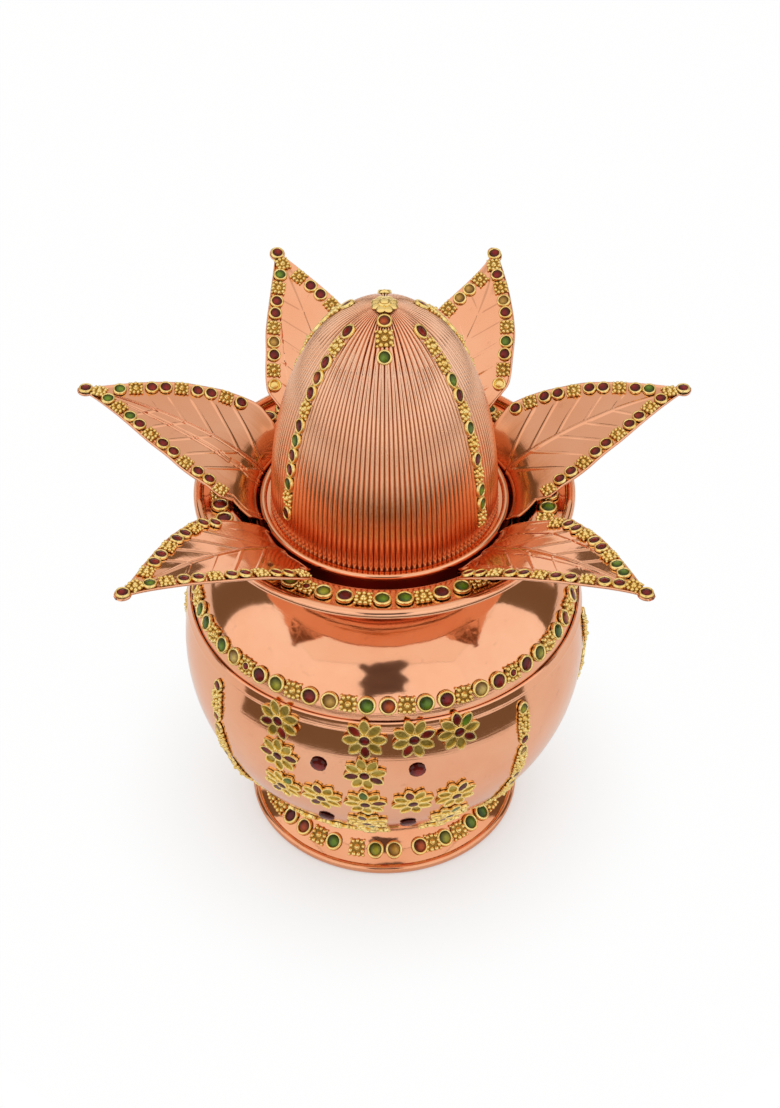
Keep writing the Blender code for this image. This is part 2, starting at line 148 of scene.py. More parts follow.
def copperFinish(name, look):
    material, tree, shader = newMaterial(name)
    point = objectPoint(tree)
    parts = tree.nodes.new("ShaderNodeSeparateXYZ")
    feed(tree, parts, {"Vector": point})
    x, y, z = (parts.outputs[axis] for axis in "XYZ")
    flat = mathNode(tree, "ADD", mathNode(tree, "POWER", x, 2.0), mathNode(tree, "POWER", y, 2.0))
    ring = mathNode(tree, "ADD", mathNode(tree, "SQRT", flat), z)
    lathe = tree.nodes.new("ShaderNodeCombineXYZ")
    around = copperGrain["around"]
    for axis, value, scale in (("X", x, around), ("Y", y, around), ("Z", ring, look["ringScale"])):
        feed(tree, lathe, {axis: mathNode(tree, "MULTIPLY", value, scale)})
    marks = noiseNode(tree, lathe.outputs["Vector"], 1.0, 5.0, 0.6)  # spinning marks
    cloud = noiseNode(tree, point, copperGrain["cloud"], 4.0, 0.55)
    stain = noiseNode(tree, point, copperGrain["stain"], 5.0, 0.65)
    tint = mixColours(tree, rampNode(tree, cloud, [(0.32, 0.0), (0.72, 1.0)]), look["colour"], look["deep"])
    stained = rampNode(tree, stain, [(0.62, 0.0), (0.80, look["stain"])])
    tint = mixColours(tree, stained, tint, look["tarnishAndShade"])
    if "paintedFootReflection" in look:
        low, high, colour = look["paintedFootReflection"]  # painted reflection: deeper orange towards the foot of the piece
        rise = mathNode(tree, "MULTIPLY", mathNode(tree, "SUBTRACT", z, low), 1 / (high - low))
        tint = mixColours(tree, rampNode(tree, rise, [(0.0, 1.0), (1.0, 0.0)]), tint, colour)
    if "groove" in look:  # painted shade in the creases between pleats, and painted shade with a painted reflection at the leaves' feet
        share = mathNode(tree, "MULTIPLY", attributeNode(tree, "groove"), look["groove"])
        tint = mixColours(tree, share, tint, look["grooveColour"])
    worn = mathNode(tree, "MULTIPLY", mathNode(tree, "ADD", cloud, marks), 0.5)
    rough = rampNode(tree, worn, [(0.30, look["rough"][0]), (0.70, look["rough"][1])])
    dents = noiseNode(tree, point, copperGrain["dents"], 2.0)
    uneven = mathNode(tree, "ADD", marks, mathNode(tree, "MULTIPLY", dents, copperGrain["dentShare"]))
    bump = bumpNode(tree, uneven, look["marks"], copperGrain["bump"])
    feed(tree, shader, {"Base Color": tint, "Roughness": rough, "Normal": bump, "Metallic": 1.0})
    return material


giltGrain = {"cloud": 160.0, "grain": 1400.0, "bump": 0.0002}


def giltFinish(name, look):
    material, tree, shader = newMaterial(name)
    point = objectPoint(tree)
    cloud = rampNode(tree, noiseNode(tree, point, giltGrain["cloud"], 3.0), [(0.35, 0.0), (0.70, 1.0)])
    grain = noiseNode(tree, point, giltGrain["grain"], 2.0)
    rough = rampNode(tree, grain, [(0.3, look["rough"][0]), (0.7, look["rough"][1])])
    bump = bumpNode(tree, grain, look["grain"], giltGrain["bump"])
    tint = mixColours(tree, cloud, look["colour"], look["deep"])
    feed(tree, shader, {"Base Color": tint, "Roughness": rough, "Normal": bump, "Metallic": look["metal"]})
    return material


stoneGrain = {"flaw": 900.0, "flawLift": 0.55, "rough": 0.07, "mirror": 0.30}


def stoneFinish(name, look):
    material, tree, shader = newMaterial(name)
    tone = attributeNode(tree, "tone")  # painted shade at the dark girdle to a painted highlight in the lit middle
    warm = attributeNode(tree, "warm")  # one stone's shade among its kind
    flaw = noiseNode(tree, objectPoint(tree), stoneGrain["flaw"], 3.0)
    lit = mixColours(tree, warm, look["colour"], look["warmer"])
    inner = mathNode(tree, "MULTIPLY", tone, mathNode(tree, "ADD", flaw, stoneGrain["flawLift"]))
    tint = mixColours(tree, inner, look["dark"], lit)
    feed(tree, shader, {
        "Base Color": tint, "Roughness": stoneGrain["rough"], "Specular IOR Level": stoneGrain["mirror"],
    })
    return material


copperLook = {
    "colour": (0.910, 0.475, 0.290), "deep": (0.870, 0.400, 0.225), "tarnishAndShade": (0.40, 0.13, 0.06),
    "stain": 0.30, "ringScale": 700.0, "rough": (0.06, 0.13), "marks": 0.25,
}
leafLook = dict(copperLook, colour=(0.905, 0.475, 0.295), deep=(0.865, 0.400, 0.225), rough=(0.08, 0.15),
                # the deep orange crease colour on the leaves is a painted reflection of the dome, with
                # painted shade at their feet
                marks=0.08, groove=0.60, grooveColour=(0.66, 0.20, 0.055))
# dome: a paler copy of the copper, painted light for its brightly mirrored crown
domeLook = dict(copperLook, colour=(0.940, 0.570, 0.390), deep=(0.900, 0.490, 0.300), rough=(0.17, 0.26),
                # the dark crease colour is painted shade between the pleats
                ringScale=300.0, marks=0.06, groove=0.85, grooveColour=(0.30, 0.10, 0.05),
                # painted reflection: deeper orange towards the dome's foot
                paintedFootReflection=(0.150, 0.214, (0.905, 0.395, 0.190)))
# foot: a darker copy of the copper, painted shade
footShadeLook = dict(copperLook, colour=(0.850, 0.405, 0.230), deep=(0.790, 0.330, 0.170))
# collar: near black-red copper, painted shade under the dish
collarShadeLook = dict(copperLook, colour=(0.46, 0.12, 0.06), deep=(0.30, 0.06, 0.03), rough=(0.26, 0.40))
giltLook = {
    "colour": (1.0, 0.79, 0.33), "deep": (0.90, 0.62, 0.18), "rough": (0.17, 0.30),
    "grain": 0.10, "metal": 0.94,
}
# darker gilt on the plate between the beads: painted shade
pitLook = {
    "colour": (0.46, 0.28, 0.06), "deep": (0.26, 0.14, 0.025), "rough": (0.40, 0.55),
    "grain": 0.30, "metal": 0.75,
}
# darker gilt on the petals' sunken floors: painted shade
petalShadeLook = {
    "colour": (0.56, 0.43, 0.11), "deep": (0.32, 0.23, 0.04), "rough": (0.24, 0.40),
    "grain": 0.30, "metal": 1.0,
}
# stone colours: dark is the painted shade at the girdle, colour and warmer the lit middle
redLook = {"dark": (0.035, 0.003, 0.003), "colour": (0.29, 0.012, 0.012), "warmer": (0.62, 0.11, 0.015)}
greenLook = {"dark": (0.015, 0.024, 0.002), "colour": (0.13, 0.29, 0.02), "warmer": (0.46, 0.42, 0.04)}
amberLook = {"dark": (0.12, 0.040, 0.004), "colour": (0.66, 0.36, 0.06), "warmer": (0.82, 0.64, 0.20)}

copper = copperFinish("polished_copper", copperLook)
leafCopper = copperFinish("leaf_sheet_copper", leafLook)
domeCopper = copperFinish("pleated_copper", domeLook)
footShadeCopper = copperFinish("foot_painted_shade_copper", footShadeLook)
collarShadeCopper = copperFinish("collar_painted_shade_copper", collarShadeLook)
gilt = giltFinish("gilt_beads", giltLook)
pit = giltFinish("gilt_pits_painted_shade", pitLook)
petalShade = giltFinish("petal_floor_painted_shade", petalShadeLook)
stoneFinishes = {
    "red": stoneFinish("garnet_stone", redLook),
    "green": stoneFinish("peridot_stone", greenLook),
    "amber": stoneFinish("amber_stone", amberLook),
}
print("materials made")


# making and placing pieces
def meshObject(name, bm, finishes):
    mesh = bpy.data.meshes.new(name)
    bm.to_mesh(mesh)
    bm.free()
    for finish in finishes:
        mesh.materials.append(finish)
    piece = bpy.data.objects.new(name, mesh)
    scene.collection.objects.link(piece)
    return piece


def addPiece(name, bm, finishes, body, nodes=(), sharp=38.0):
    piece = meshObject(name, bm, finishes)
    if sharp:
        piece.data.shade_smooth()
        piece.data.set_sharp_from_angle(angle=math.radians(sharp))
    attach(piece, body)
    if nodes:
        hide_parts(*nodes)
    return piece


def addWall(piece, thickness, offset):
    wall = piece.modifiers.new("wall", "SOLIDIFY")
    wall.thickness = thickness
    wall.offset = offset


def turnProfile(points, steps, closed=True):
    bm = bmesh.new()
    ring = [bm.verts.new((radius, 0.0, height)) for radius, height in points]
    pairs = list(zip(ring, ring[1:]))
    if closed:
        pairs.append((ring[-1], ring[0]))
    edges = [bm.edges.new(pair) for pair in pairs]
    bmesh.ops.spin(bm, geom=ring + edges, cent=(0, 0, 0), axis=(0, 0, 1), angle=math.tau, steps=steps,
                   use_merge=True)
    bmesh.ops.remove_doubles(bm, verts=bm.verts, dist=1e-7)
    bmesh.ops.recalc_face_normals(bm, faces=bm.faces)
    return bm


def arcPoints(centre, radius, first, last, count):
    angles = [first + (last - first) * i / count for i in range(count + 1)]
    return [(centre[0] + radius * math.cos(a), centre[1] + radius * math.sin(a)) for a in angles]


def atAzimuth(radius, azimuth, height):
    return Vector((radius * math.sin(azimuth), -radius * math.cos(azimuth), height))


def smooth(edge0, edge1, value):
    share = min(1.0, max(0.0, (value - edge0) / (edge1 - edge0)))
    return share * share * (3 - 2 * share)


hammer = {
    "second": 0.5, "finer": 2.3, "shift": Vector((7, 3, 1)), "around": 12, "rings": 260, "ringShare": 0.16,
}


def beat(bm, amount, span):
    bm.normal_update()
    for vert in bm.verts:
        spot = vert.co / span
        wave = noise.noise(spot) + hammer["second"] * noise.noise(spot * hammer["finer"] + hammer["shift"])
        x, y, z = vert.co
        ring = (z + vert.co.xy.length) * hammer["rings"]
        ring = noise.noise(Vector((x * hammer["around"], y * hammer["around"], ring)))
        vert.co += vert.normal * (wave * amount + ring * amount * hammer["ringShare"])


# the spun pot
pot = {
    "sheet": 0.0012, "bowlRadius": 0.0760, "bowlFloor": 0.0051, "waistLatitude": math.radians(15.8),
    "shoulderCurve": 0.0450, "shoulderHole": 0.0444, "bandHeight": 0.0046, "bandSheet": 0.0006, "gap": 0.0003,
    "bandHem": 0.00012, "bandRows": 8, "neck": 0.0470, "neckStraight": 0.0040, "mouthRise": 0.0202,
    "mouth": 0.0696, "flange": 0.0126, "flareRows": 14, "lip": 0.0019, "lipTurn": (205, -90),
    "lipGroove": (0.0006, 0.00025),
    "bowlSeam": 0.002, "shoulderSeam": 0.003,  # angles left open under the band
    "steps": 176, "beat": 0.00014, "beatSpan": 0.021, "mouthBeat": 0.00004, "mouthBeatSpan": 0.017,
}
bowlCentre = pot["bowlFloor"] + pot["bowlRadius"]
waistRadius = pot["bowlRadius"] * math.cos(pot["waistLatitude"])
waistHeight = bowlCentre + pot["bowlRadius"] * math.sin(pot["waistLatitude"])
shoulderCentre = (
    waistRadius - pot["shoulderCurve"] * math.cos(pot["waistLatitude"]),
    waistHeight - pot["shoulderCurve"] * math.sin(pot["waistLatitude"]),
)


def shoulderHeight(radius):
    return shoulderCentre[1] + math.sqrt(pot["shoulderCurve"] ** 2 - (radius - shoulderCentre[0]) ** 2)


mouthHeight = shoulderHeight(pot["neck"]) + pot["mouthRise"]
flangeRadius = pot["mouth"] - pot["flange"]
flareHeight = shoulderHeight(pot["neck"]) + pot["gap"] + pot["neckStraight"]


def makeBowl():
    top = pot["waistLatitude"] - pot["bowlSeam"]
    inside = arcPoints((0.0, bowlCentre), pot["bowlRadius"] - pot["sheet"], -math.pi / 2, top, 60)
    outside = arcPoints((0.0, bowlCentre), pot["bowlRadius"], top, -math.pi / 2, 70)
    profile = [(0.0, inside[0][1])] + inside[1:] + outside[:-1] + [(0.0, outside[-1][1])]
    bm = turnProfile(profile, pot["steps"], False)
    beat(bm, pot["beat"], pot["beatSpan"])
    addPiece("bowl", bm, [copper], "pot", ["lower_bowl"])


def makeShoulder():
    start = pot["waistLatitude"] + pot["shoulderSeam"]
    stop = math.acos((pot["shoulderHole"] - shoulderCentre[0]) / pot["shoulderCurve"])
    inside = arcPoints(shoulderCentre, pot["shoulderCurve"] - pot["sheet"], start, stop, 24)
    outside = arcPoints(shoulderCentre, pot["shoulderCurve"], stop, start, 40)
    bm = turnProfile(inside + outside, pot["steps"])
    beat(bm, pot["beat"], pot["beatSpan"])
    addPiece("shoulder", bm, [copper], "pot", ["upper_shoulder"])


def makeWaistBand():
    rows = pot["bandRows"]
    inner, outer = [], []
    for i in range(rows + 1):
        rise = -pot["bandHeight"] / 2 + pot["bandHeight"] * i / rows
        centre, curve = (0.0, bowlCentre), pot["bowlRadius"]
        if rise >= 0:
            centre, curve = shoulderCentre, pot["shoulderCurve"]
        angle = pot["waistLatitude"] + rise / curve
        hem = pot["bandHem"] if i in (1, rows - 1) else 0.0  # rolled hems of the band
        for line, proud in ((inner, pot["gap"]), (outer, pot["gap"] + pot["bandSheet"] + hem)):
            reach = curve + proud
            line.append((centre[0] + reach * math.cos(angle), centre[1] + reach * math.sin(angle)))
    bm = turnProfile(inner + outer[::-1], pot["steps"])
    addPiece("seam_band", bm, [copper], "pot", ["waist_band"], 20.0)


def makeMouth():
    reach = flangeRadius - pot["neck"]
    rise = mouthHeight - flareHeight
    foot = shoulderHeight(pot["neck"]) + pot["gap"]
    top, under = [], []
    for i in range(pot["flareRows"] + 1):
        angle = i / pot["flareRows"] * math.pi / 2
        point = Vector((flangeRadius - reach * math.cos(angle), flareHeight + rise * math.sin(angle)))
        outward = Vector((rise * math.cos(angle), -reach * math.sin(angle))).normalized()
        top.append(tuple(point))
        under.append(tuple(point + outward * pot["sheet"]))
    roll = (pot["mouth"] - pot["lip"], mouthHeight - pot["sheet"] + pot["lip"])
    lip = arcPoints(roll, pot["lip"], *map(math.radians, pot["lipTurn"]), 18)
    groove = [(roll[0] - pot["lip"] - pot["lipGroove"][0], mouthHeight - pot["lipGroove"][1])]
    profile = [(pot["neck"], foot)] + top + groove + lip + under[::-1] + [(pot["neck"] + pot["sheet"], foot)]
    bm = turnProfile(profile, pot["steps"])
    beat(bm, pot["mouthBeat"], pot["mouthBeatSpan"])
    addPiece("mouth", bm, [copper], "pot", ["mouth_rim"])


foot = {
    "radius": 0.0528, "topRadius": 0.0404, "roll": 0.0017, "flat": 0.0018, "flareRadius": 0.0494,
    "flareHeight": 0.0042, "waistRadius": 0.0414, "waistHeight": 0.0096, "rows": 18, "rollTurn": (112, -60),
}
footTop = bowlCentre - math.sqrt((pot["bowlRadius"] + pot["gap"]) ** 2 - foot["topRadius"] ** 2)


def footFace(place, offset=0.0):
    top = Vector((foot["topRadius"], footTop))
    bend = Vector((foot["waistRadius"], foot["waistHeight"]))
    low = Vector((foot["flareRadius"], foot["flareHeight"]))
    point = top * (1 - place) ** 2 + bend * 2 * place * (1 - place) + low * place ** 2
    along = (bend - top) * (1 - place) + (low - bend) * place
    outward = Vector((-along.y, along.x)).normalized()
    return point + outward * offset


def makeFoot():
    rows = foot["rows"]
    outside = [tuple(footFace(i / rows)) for i in range(rows + 1)]
    roll = (foot["radius"] - foot["roll"], foot["roll"])
    edge = arcPoints(roll, foot["roll"], *map(math.radians, foot["rollTurn"]), 14)
    rest = [(roll[0] + foot["flat"] / 2, 0.0), (roll[0] - foot["flat"] / 2, 0.0)]
    inside = [tuple(footFace(1 - i / rows, -pot["sheet"])) for i in range(rows + 1)]
    reach = (pot["bowlRadius"] + pot["gap"]) ** 2 - inside[-1][0] ** 2
    inside[-1] = (inside[-1][0], bowlCentre - math.sqrt(reach))
    bm = turnProfile(outside + edge + rest + inside, pot["steps"])
    addPiece("foot", bm, [footShadeCopper], "pot", ["foot_ring"])


makeBowl()
makeShoulder()
makeWaistBand()
makeMouth()
makeFoot()
print("pot spun")

# the coconut lid
coconut = {
    "neck": 0.0400, "neckDepth": 0.0090, "dish": 0.0456, "dishRoll": 0.0013, "dishTurn": (178, -90),
    "dishRise": 0.0037, "collarDepth": 0.0084, "collarFit": 0.0004, "collarBevel": 0.0003, "radius": 0.0415,
    "height": 0.0860, "crownPower": 2.15, "sidePower": 1.93, "bend": 0.045, "hemBead": 0.00042,
}
pleats = {
    "ribs": 132, "ribColumns": 5, "rows": 56, "ribDepth": 0.00065, "ribEdge": 1.5, "folds": 66,
    "foldDepth": 0.0010, "foldEdge": 1.7, "gather": (0.034, 0.014), "wander": 0.5, "wanderScale": 2.1,
    "wanderRise": 2.0, "uneven": 0.6, "unevenScale": 7.0, "tip": 0.006,
}
collarTop = mouthHeight - coconut["collarDepth"]
dishUnder = collarTop + coconut["dishRise"]
domeBase = dishUnder + pot["sheet"] + pot["gap"]


def domeRadius(rise):
    return coconut["radius"] * max(0.0, 1 - rise ** coconut["crownPower"]) ** (1 / coconut["sidePower"])


def makeDome():
    bm = bmesh.new()
    groove = bm.verts.layers.float.new("groove")
    columns = pleats["ribs"] * pleats["ribColumns"]
    bmesh.ops.create_grid(bm, x_segments=columns, y_segments=pleats["rows"], size=1.0)
    for vert in bm.verts:
        turn = (vert.co.x + 1) * math.pi
        across, ahead = math.sin(turn), math.cos(turn)
        rise = math.sin((vert.co.y + 1) / 2 * math.pi / 2)
        plain = domeRadius(rise)
        near = smooth(*pleats["gather"], plain)  # ribs gather into pleats towards the crown
        scale = pleats["wanderScale"]
        wander = noise.noise((across * scale, ahead * scale, rise * pleats["wanderRise"]))
        scale = pleats["unevenScale"]
        uneven = 1.0 + pleats["uneven"] * near * noise.noise((across * scale, ahead * scale, 4.0))
        rib = abs(math.sin(pleats["ribs"] / 2 * turn))
        fold = abs(math.sin(pleats["folds"] / 2 * turn + pleats["wander"] * wander * near ** 2))
        rib, fold = (1 - rib) ** pleats["ribEdge"], uneven * (1 - fold) ** pleats["foldEdge"]
        depth = pleats["ribDepth"] * rib * (1 - near) + pleats["foldDepth"] * fold * near
        depth *= min(1.0, plain / pleats["tip"])
        # crease mask: where the painted shade between ribs and pleats goes
        vert[groove] = min(1.0, rib ** 2 * (1 - near) + fold ** 2 * near)
        height = domeBase + rise * coconut["height"] - 0.5 * depth * near
        vert.co = atAzimuth(max(0.0, plain - depth), turn, height)
    bmesh.ops.remove_doubles(bm, verts=bm.verts, dist=1e-7)
    bmesh.ops.recalc_face_normals(bm, faces=bm.faces)
    dome = addPiece("pleated_coconut", bm, [domeCopper], "coconut", ["coconut_shell"], 75.0)
    addWall(dome, pot["sheet"], -1.0)


def makeDish():
    inner = coconut["neck"] - pot["sheet"]
    low = collarTop - coconut["neckDepth"]
    roll = (coconut["dish"] - coconut["dishRoll"], dishUnder + coconut["dishRoll"])
    edge = arcPoints(roll, coconut["dishRoll"], *map(math.radians, coconut["dishTurn"]), 16)
    profile = [(inner, low), (inner, dishUnder + pot["sheet"])] + edge
    profile += [(coconut["neck"], dishUnder), (coconut["neck"], low)]
    addPiece("coconut_dish", turnProfile(profile, 144), [copper], "coconut", ["coconut_base"])


def makeCollar():
    outer = pot["neck"] - coconut["collarFit"]
    inner = outer - pot["sheet"]
    hole = coconut["neck"] + coconut["collarFit"]
    low = shoulderHeight(inner) + pot["gap"]
    under = collarTop - pot["sheet"]
    bevel = coconut["collarBevel"]
    edge = collarTop - bevel
    profile = [(inner, low), (inner, under), (hole, under), (hole, edge), (hole + bevel, collarTop),
               (outer - bevel, collarTop), (outer, edge), (outer, low)]
    addPiece("collar", turnProfile(profile, 128), [collarShadeCopper], "leaf_crown", ["crown_collar"])


makeDome()
makeDish()
makeCollar()
print("coconut and collar made")

# mango leaves
leafSheet = {
    "halfWidth": 0.0250, "rootHalfWidth": 0.0120, "widest": 0.12, "taper": 1.17, "bend": 0.68, "droop": 0.06,
    "rootSlope": math.radians(48.6), "tipSlope": math.radians(6.7), "neckSteep": math.radians(36.0),
    "neckShare": 0.20, "rollShare": 0.4, "root": 0.0456, "sheet": 0.0008, "cup": 0.0012, "spacing": 0.0005,
    "mouthGap": 0.0006, "trim": 0.0010, "rows": 216, "columns": 124, "spread": 0.0115, "spreadSpan": 0.18,
    "spreadPower": 1.6, "wrapSpan": (0.05, 0.36), "tipRound": 0.0029, "easeRows": 5, "easeSpan": (0.45, 0.60),
}
leafWork = {
    "rooted": 0.10, "midrib": 0.00044, "midribWidth": 0.0004, "veins": [0.06, 0.20, 0.34, 0.48, 0.62],
    "vein": 0.00025, "veinWidth": 0.00037, "veinLean": 1.15, "veinCurl": 6.0, "veinTilt": 0.62,
    "veinRoot": 0.0012, "veinMargin": 0.0045, "veinFade": 0.003, "hem": 0.00022, "hemWidth": 0.0005,
    # the last span here marks the leaf's foot for painted shade and a painted reflection of the dome
    "beat": 0.00024, "beatAlong": 7, "beatAcross": 2.6, "crowded": 1.05, "tarnishAndShade": (0.14, 0.30),
}
leafPairs = {
    "front": {"azimuth": 48.0, "lift": -4.5, "length": 0.0845, "roll": 1.2},
    "side": {"azimuth": 106.8, "lift": -4.0, "length": 0.0810, "roll": -7.5},
    "back": {"azimuth": 156.5, "lift": 13.0, "length": 0.0793, "roll": -4.3},
}
leafBows = {"back_right": -0.0050}  # this leaf is bent aside
leafShares = {("front", "side"): 0.315, ("side", "front"): 0.685}  # side leaves are broader at the foot
leafRoot = collarTop + pot["gap"] + leafSheet["sheet"] / 2


def leafSlope(place, lift):
    steep = leafSheet["neckSteep"] * max(0.0, 1 - place / leafSheet["neckShare"]) ** 2
    fall = (leafSheet["tipSlope"] - leafSheet["rootSlope"]) * place ** leafSheet["bend"]
    return lift + steep + leafSheet["rootSlope"] + fall - leafSheet["droop"] * place ** 2


def leafLine(leaf, count=240):
    radius, height = leafSheet["root"], leafRoot
    step = leaf["length"] / count
    line = [(radius, height, leafSlope(0.0, leaf["lift"]))]
    for i in range(count):
        middle = leafSlope((i + 0.5) / count, leaf["lift"])
        radius += step * math.cos(middle)
        height += step * math.sin(middle)
        line.append((radius, height, leafSlope((i + 1) / count, leaf["lift"])))
    return line


def alongLine(line, place):
    spot = min(max(place, 0.0), 1.0) * (len(line) - 1)
    low = min(int(spot), len(line) - 2)
    return tuple(a + (b - a) * (spot - low) for a, b in zip(line[low], line[low + 1]))


def mouthInner(height):
    if height > mouthHeight + pot["gap"] + leafSheet["trim"] + leafSheet["sheet"] + leafSheet["mouthGap"]:
        return 1.0
    share = min(max((height - flareHeight) / (mouthHeight - flareHeight), 0.0), 1.0)
    return flangeRadius - (flangeRadius - pot["neck"]) * math.sqrt(1 - share ** 2)


def leafBow(leaf, place):
    return leaf["bow"] * 6.75 * place ** 2 * (1 - place)  # 1 at its peak, two thirds out


def leafWrap(leaf, place, side):  # the foot is rolled around the collar
    return leaf["wraps"][side] * (1 - smooth(*leafSheet["wrapSpan"], place))


def leafHalf(leaf, place, side):
    radius, height, slope = alongLine(leaf["line"], place)
    widest = leafSheet["widest"]
    if place < widest:
        grow = math.sin(math.pi / 2 * place / widest)
        half = leafSheet["rootHalfWidth"] + (leafSheet["halfWidth"] - leafSheet["rootHalfWidth"]) * grow
    else:
        fall = math.cos(math.pi / 2 * (place - widest) / (1 - widest))
        half = leafSheet["halfWidth"] * max(fall, 0.0) ** leafSheet["taper"]
    past = (1 - place) * leaf["length"] - leafSheet["tipRound"]
    half = max(half, math.sqrt(max(0.0, leafSheet["tipRound"] ** 2 - past ** 2)))  # round tip under a stone
    spread = min(1.0, max(0.0, 1 - (place - widest) / leafSheet["spreadSpan"]))
    half += leaf["spreads"][side] * spread ** leafSheet["spreadPower"]
    tilt = leafSheet["halfWidth"] * abs(math.sin(leaf["roll"]))
    highest = leafSheet["cup"] + leafSheet["sheet"] + pot["gap"] + leafSheet["trim"] + tilt
    wrap = leafWrap(leaf, place, side)
    angle = leaf["rooms"][side]
    room = (radius - highest * math.sin(slope)) * (math.tan(angle) * (1 - wrap) + angle * wrap)
    room = room - leafSheet["spacing"] - max(0.0, leafBow(leaf, place) * (1 if side else -1))
    mouth = mouthInner(height) - leafSheet["mouthGap"] - leafSheet["sheet"]
    loose = (mouth - wrap * radius) / max(1 - wrap, 0.02)
    return min(half, room, math.sqrt(max(loose ** 2 - radius ** 2, 1e-5)))


def leafPoint(leaf, place, across, half, proud=0.0):
    radius, height, slope = alongLine(leaf["line"], place)
    roll = leaf["roll"] * min(1.0, place / leafSheet["rollShare"])
    cup = leafSheet["cup"] * half / leafSheet["halfWidth"] * across ** 2
    lift = cup + proud + across * half * math.sin(roll)
    aside = across * half * math.cos(roll) + leafBow(leaf, place)
    reach = radius - lift * math.sin(slope)
    flat = leaf["outward"] * reach + leaf["sideways"] * aside
    rolled = atAzimuth(reach, leaf["azimuth"] + aside / reach, 0.0)
    spot = flat.lerp(rolled, leafWrap(leaf, place, 1 if across > 0 else 0))
    return spot + Vector((0.0, 0.0, height + lift * math.cos(slope)))


def bell(distance, width):
    return math.exp(-(distance / width) ** 2)


def leafRelief(leaf, place, across, half):
    aside = abs(across) * half
    length = leaf["length"]
    rooted = min(1.0, place / leafWork["rooted"])
    rib = leafWork["midrib"] * rooted * max(0.0, 1 - place) ** 0.5
    relief = rib * bell(aside, leafWork["midribWidth"] + leafWork["midribWidth"] * (1 - place))
    margin = (half - aside - leafWork["veinMargin"]) / leafWork["veinFade"]
    reach = min(1.0, aside / leafWork["veinRoot"]) * min(1.0, max(0.0, margin))
    for vein in leafWork["veins"]:
        line = vein + (leafWork["veinLean"] * aside + leafWork["veinCurl"] * aside ** 2) / length
        off = (place - line) * length * leafWork["veinTilt"]
        relief += leafWork["vein"] * rooted * reach * bell(off, leafWork["veinWidth"])
    relief += leafWork["hem"] * bell(half - aside, leafWork["hemWidth"])
    along, aside = place * leafWork["beatAlong"] + leaf["seed"], across * leafWork["beatAcross"]
    return relief + leafWork["beat"] * noise.noise(Vector((along, aside, leaf["seed"]))) * rooted


def evenHalves(leaf, side):
    count, span = leafSheet["rows"], leafSheet["easeRows"]
    raw = [leafHalf(leaf, i / count, side) for i in range(count + 1)]
    low = [min(raw[max(0, i - span):i + span + 1]) for i in range(count + 1)]
    even = []
    for i in range(count + 1):
        near = low[max(0, i - span):i + span + 1]
        eased = sum(near) / len(near)
        even.append(eased + (raw[i] - eased) * smooth(*leafSheet["easeSpan"], i / count))
    return even


def smoothHalf(leaf, place, side):
    if place > leafSheet["easeSpan"][1]:
        return leafHalf(leaf, place, side)
    spot = max(place, 0.0) * leafSheet["rows"]
    low = int(spot)
    first, second = leaf["halves"][side][low:low + 2]
    return first + (second - first) * (spot - low)


def makeLeaf(leaf):
    bm = bmesh.new()
    rows = leafSheet["rows"]
    bmesh.ops.create_grid(bm, x_segments=rows, y_segments=leafSheet["columns"], size=1.0)
    groove = bm.verts.layers.float.new("groove")
    widths = {}
    for vert in bm.verts:
        place = (vert.co.x + 1) / 2
        across = math.copysign(abs(vert.co.y) ** leafWork["crowded"], vert.co.y)
        side = 1 if across > 0 else 0
        key = (round(place * rows), side)
        if key not in widths:
            widths[key] = smoothHalf(leaf, place, side)
        half = widths[key]
        # ragged edge of the painted shade and painted reflection at the leaf's foot
        shadeEdge = 0.07 * noise.noise((across * 3.0, place * 5.0, leaf["seed"]))
        shadeEdge = shadeEdge + 0.03 * noise.noise((across * 26.0, place, 0.0))
        vert[groove] = 1 - smooth(*leafWork["tarnishAndShade"], place + shadeEdge)
        vert.co = leafPoint(leaf, place, across, half, leafRelief(leaf, place, across, half))
    bmesh.ops.remove_doubles(bm, verts=bm.verts, dist=2e-6)
    bmesh.ops.dissolve_degenerate(bm, edges=bm.edges, dist=1e-6)
    bmesh.ops.recalc_face_normals(bm, faces=bm.faces)
    if sum(face.normal.z for face in bm.faces) < 0:
        bmesh.ops.reverse_faces(bm, faces=bm.faces)
    node = "mango_leaf_" + leaf["name"]
    piece = addPiece("leaf_" + leaf["name"], bm, [leafCopper], "leaf_crown", [node], 60.0)
    addWall(piece, leafSheet["sheet"], 0.0)


leaves = []
for pairName, pair in leafPairs.items():
    for side, sideName in ((-1, "_left"), (1, "_right")):
        leaves.append({
            "name": pairName + sideName, "pair": pairName, "bow": leafBows.get(pairName + sideName, 0.0),
            "azimuth": side * math.radians(pair["azimuth"]), "lift": math.radians(pair["lift"]),
            "length": pair["length"], "roll": -side * math.radians(pair["roll"]),
            "seed": 3.1 * len(leaves) + 1.0,
        })
leaves.sort(key=lambda leaf: leaf["azimuth"])
for i, leaf in enumerate(leaves):
    leaf["rooms"], leaf["wraps"], leaf["spreads"] = [], [], []
    for other in (leaves[i - 1], leaves[(i + 1) % len(leaves)]):
        angle = abs((other["azimuth"] - leaf["azimuth"] + math.pi) % math.tau - math.pi)
        pair = (leaf["pair"], other["pair"])
        leaf["rooms"].append(angle * leafShares.get(pair, 0.5))
        leaf["wraps"].append(0.0 if pair == ("front", "front") else 1.0)
        leaf["spreads"].append(leafSheet["spread"] if pair == ("side", "front") else 0.0)
    leaf["outward"] = atAzimuth(1.0, leaf["azimuth"], 0.0)
    leaf["sideways"] = atAzimuth(1.0, leaf["azimuth"] + math.pi / 2, 0.0)
    leaf["line"] = leafLine(leaf)
    leaf["halves"] = [evenHalves(leaf, 0), evenHalves(leaf, 1)]
    makeLeaf(leaf)
print("leaves pressed")

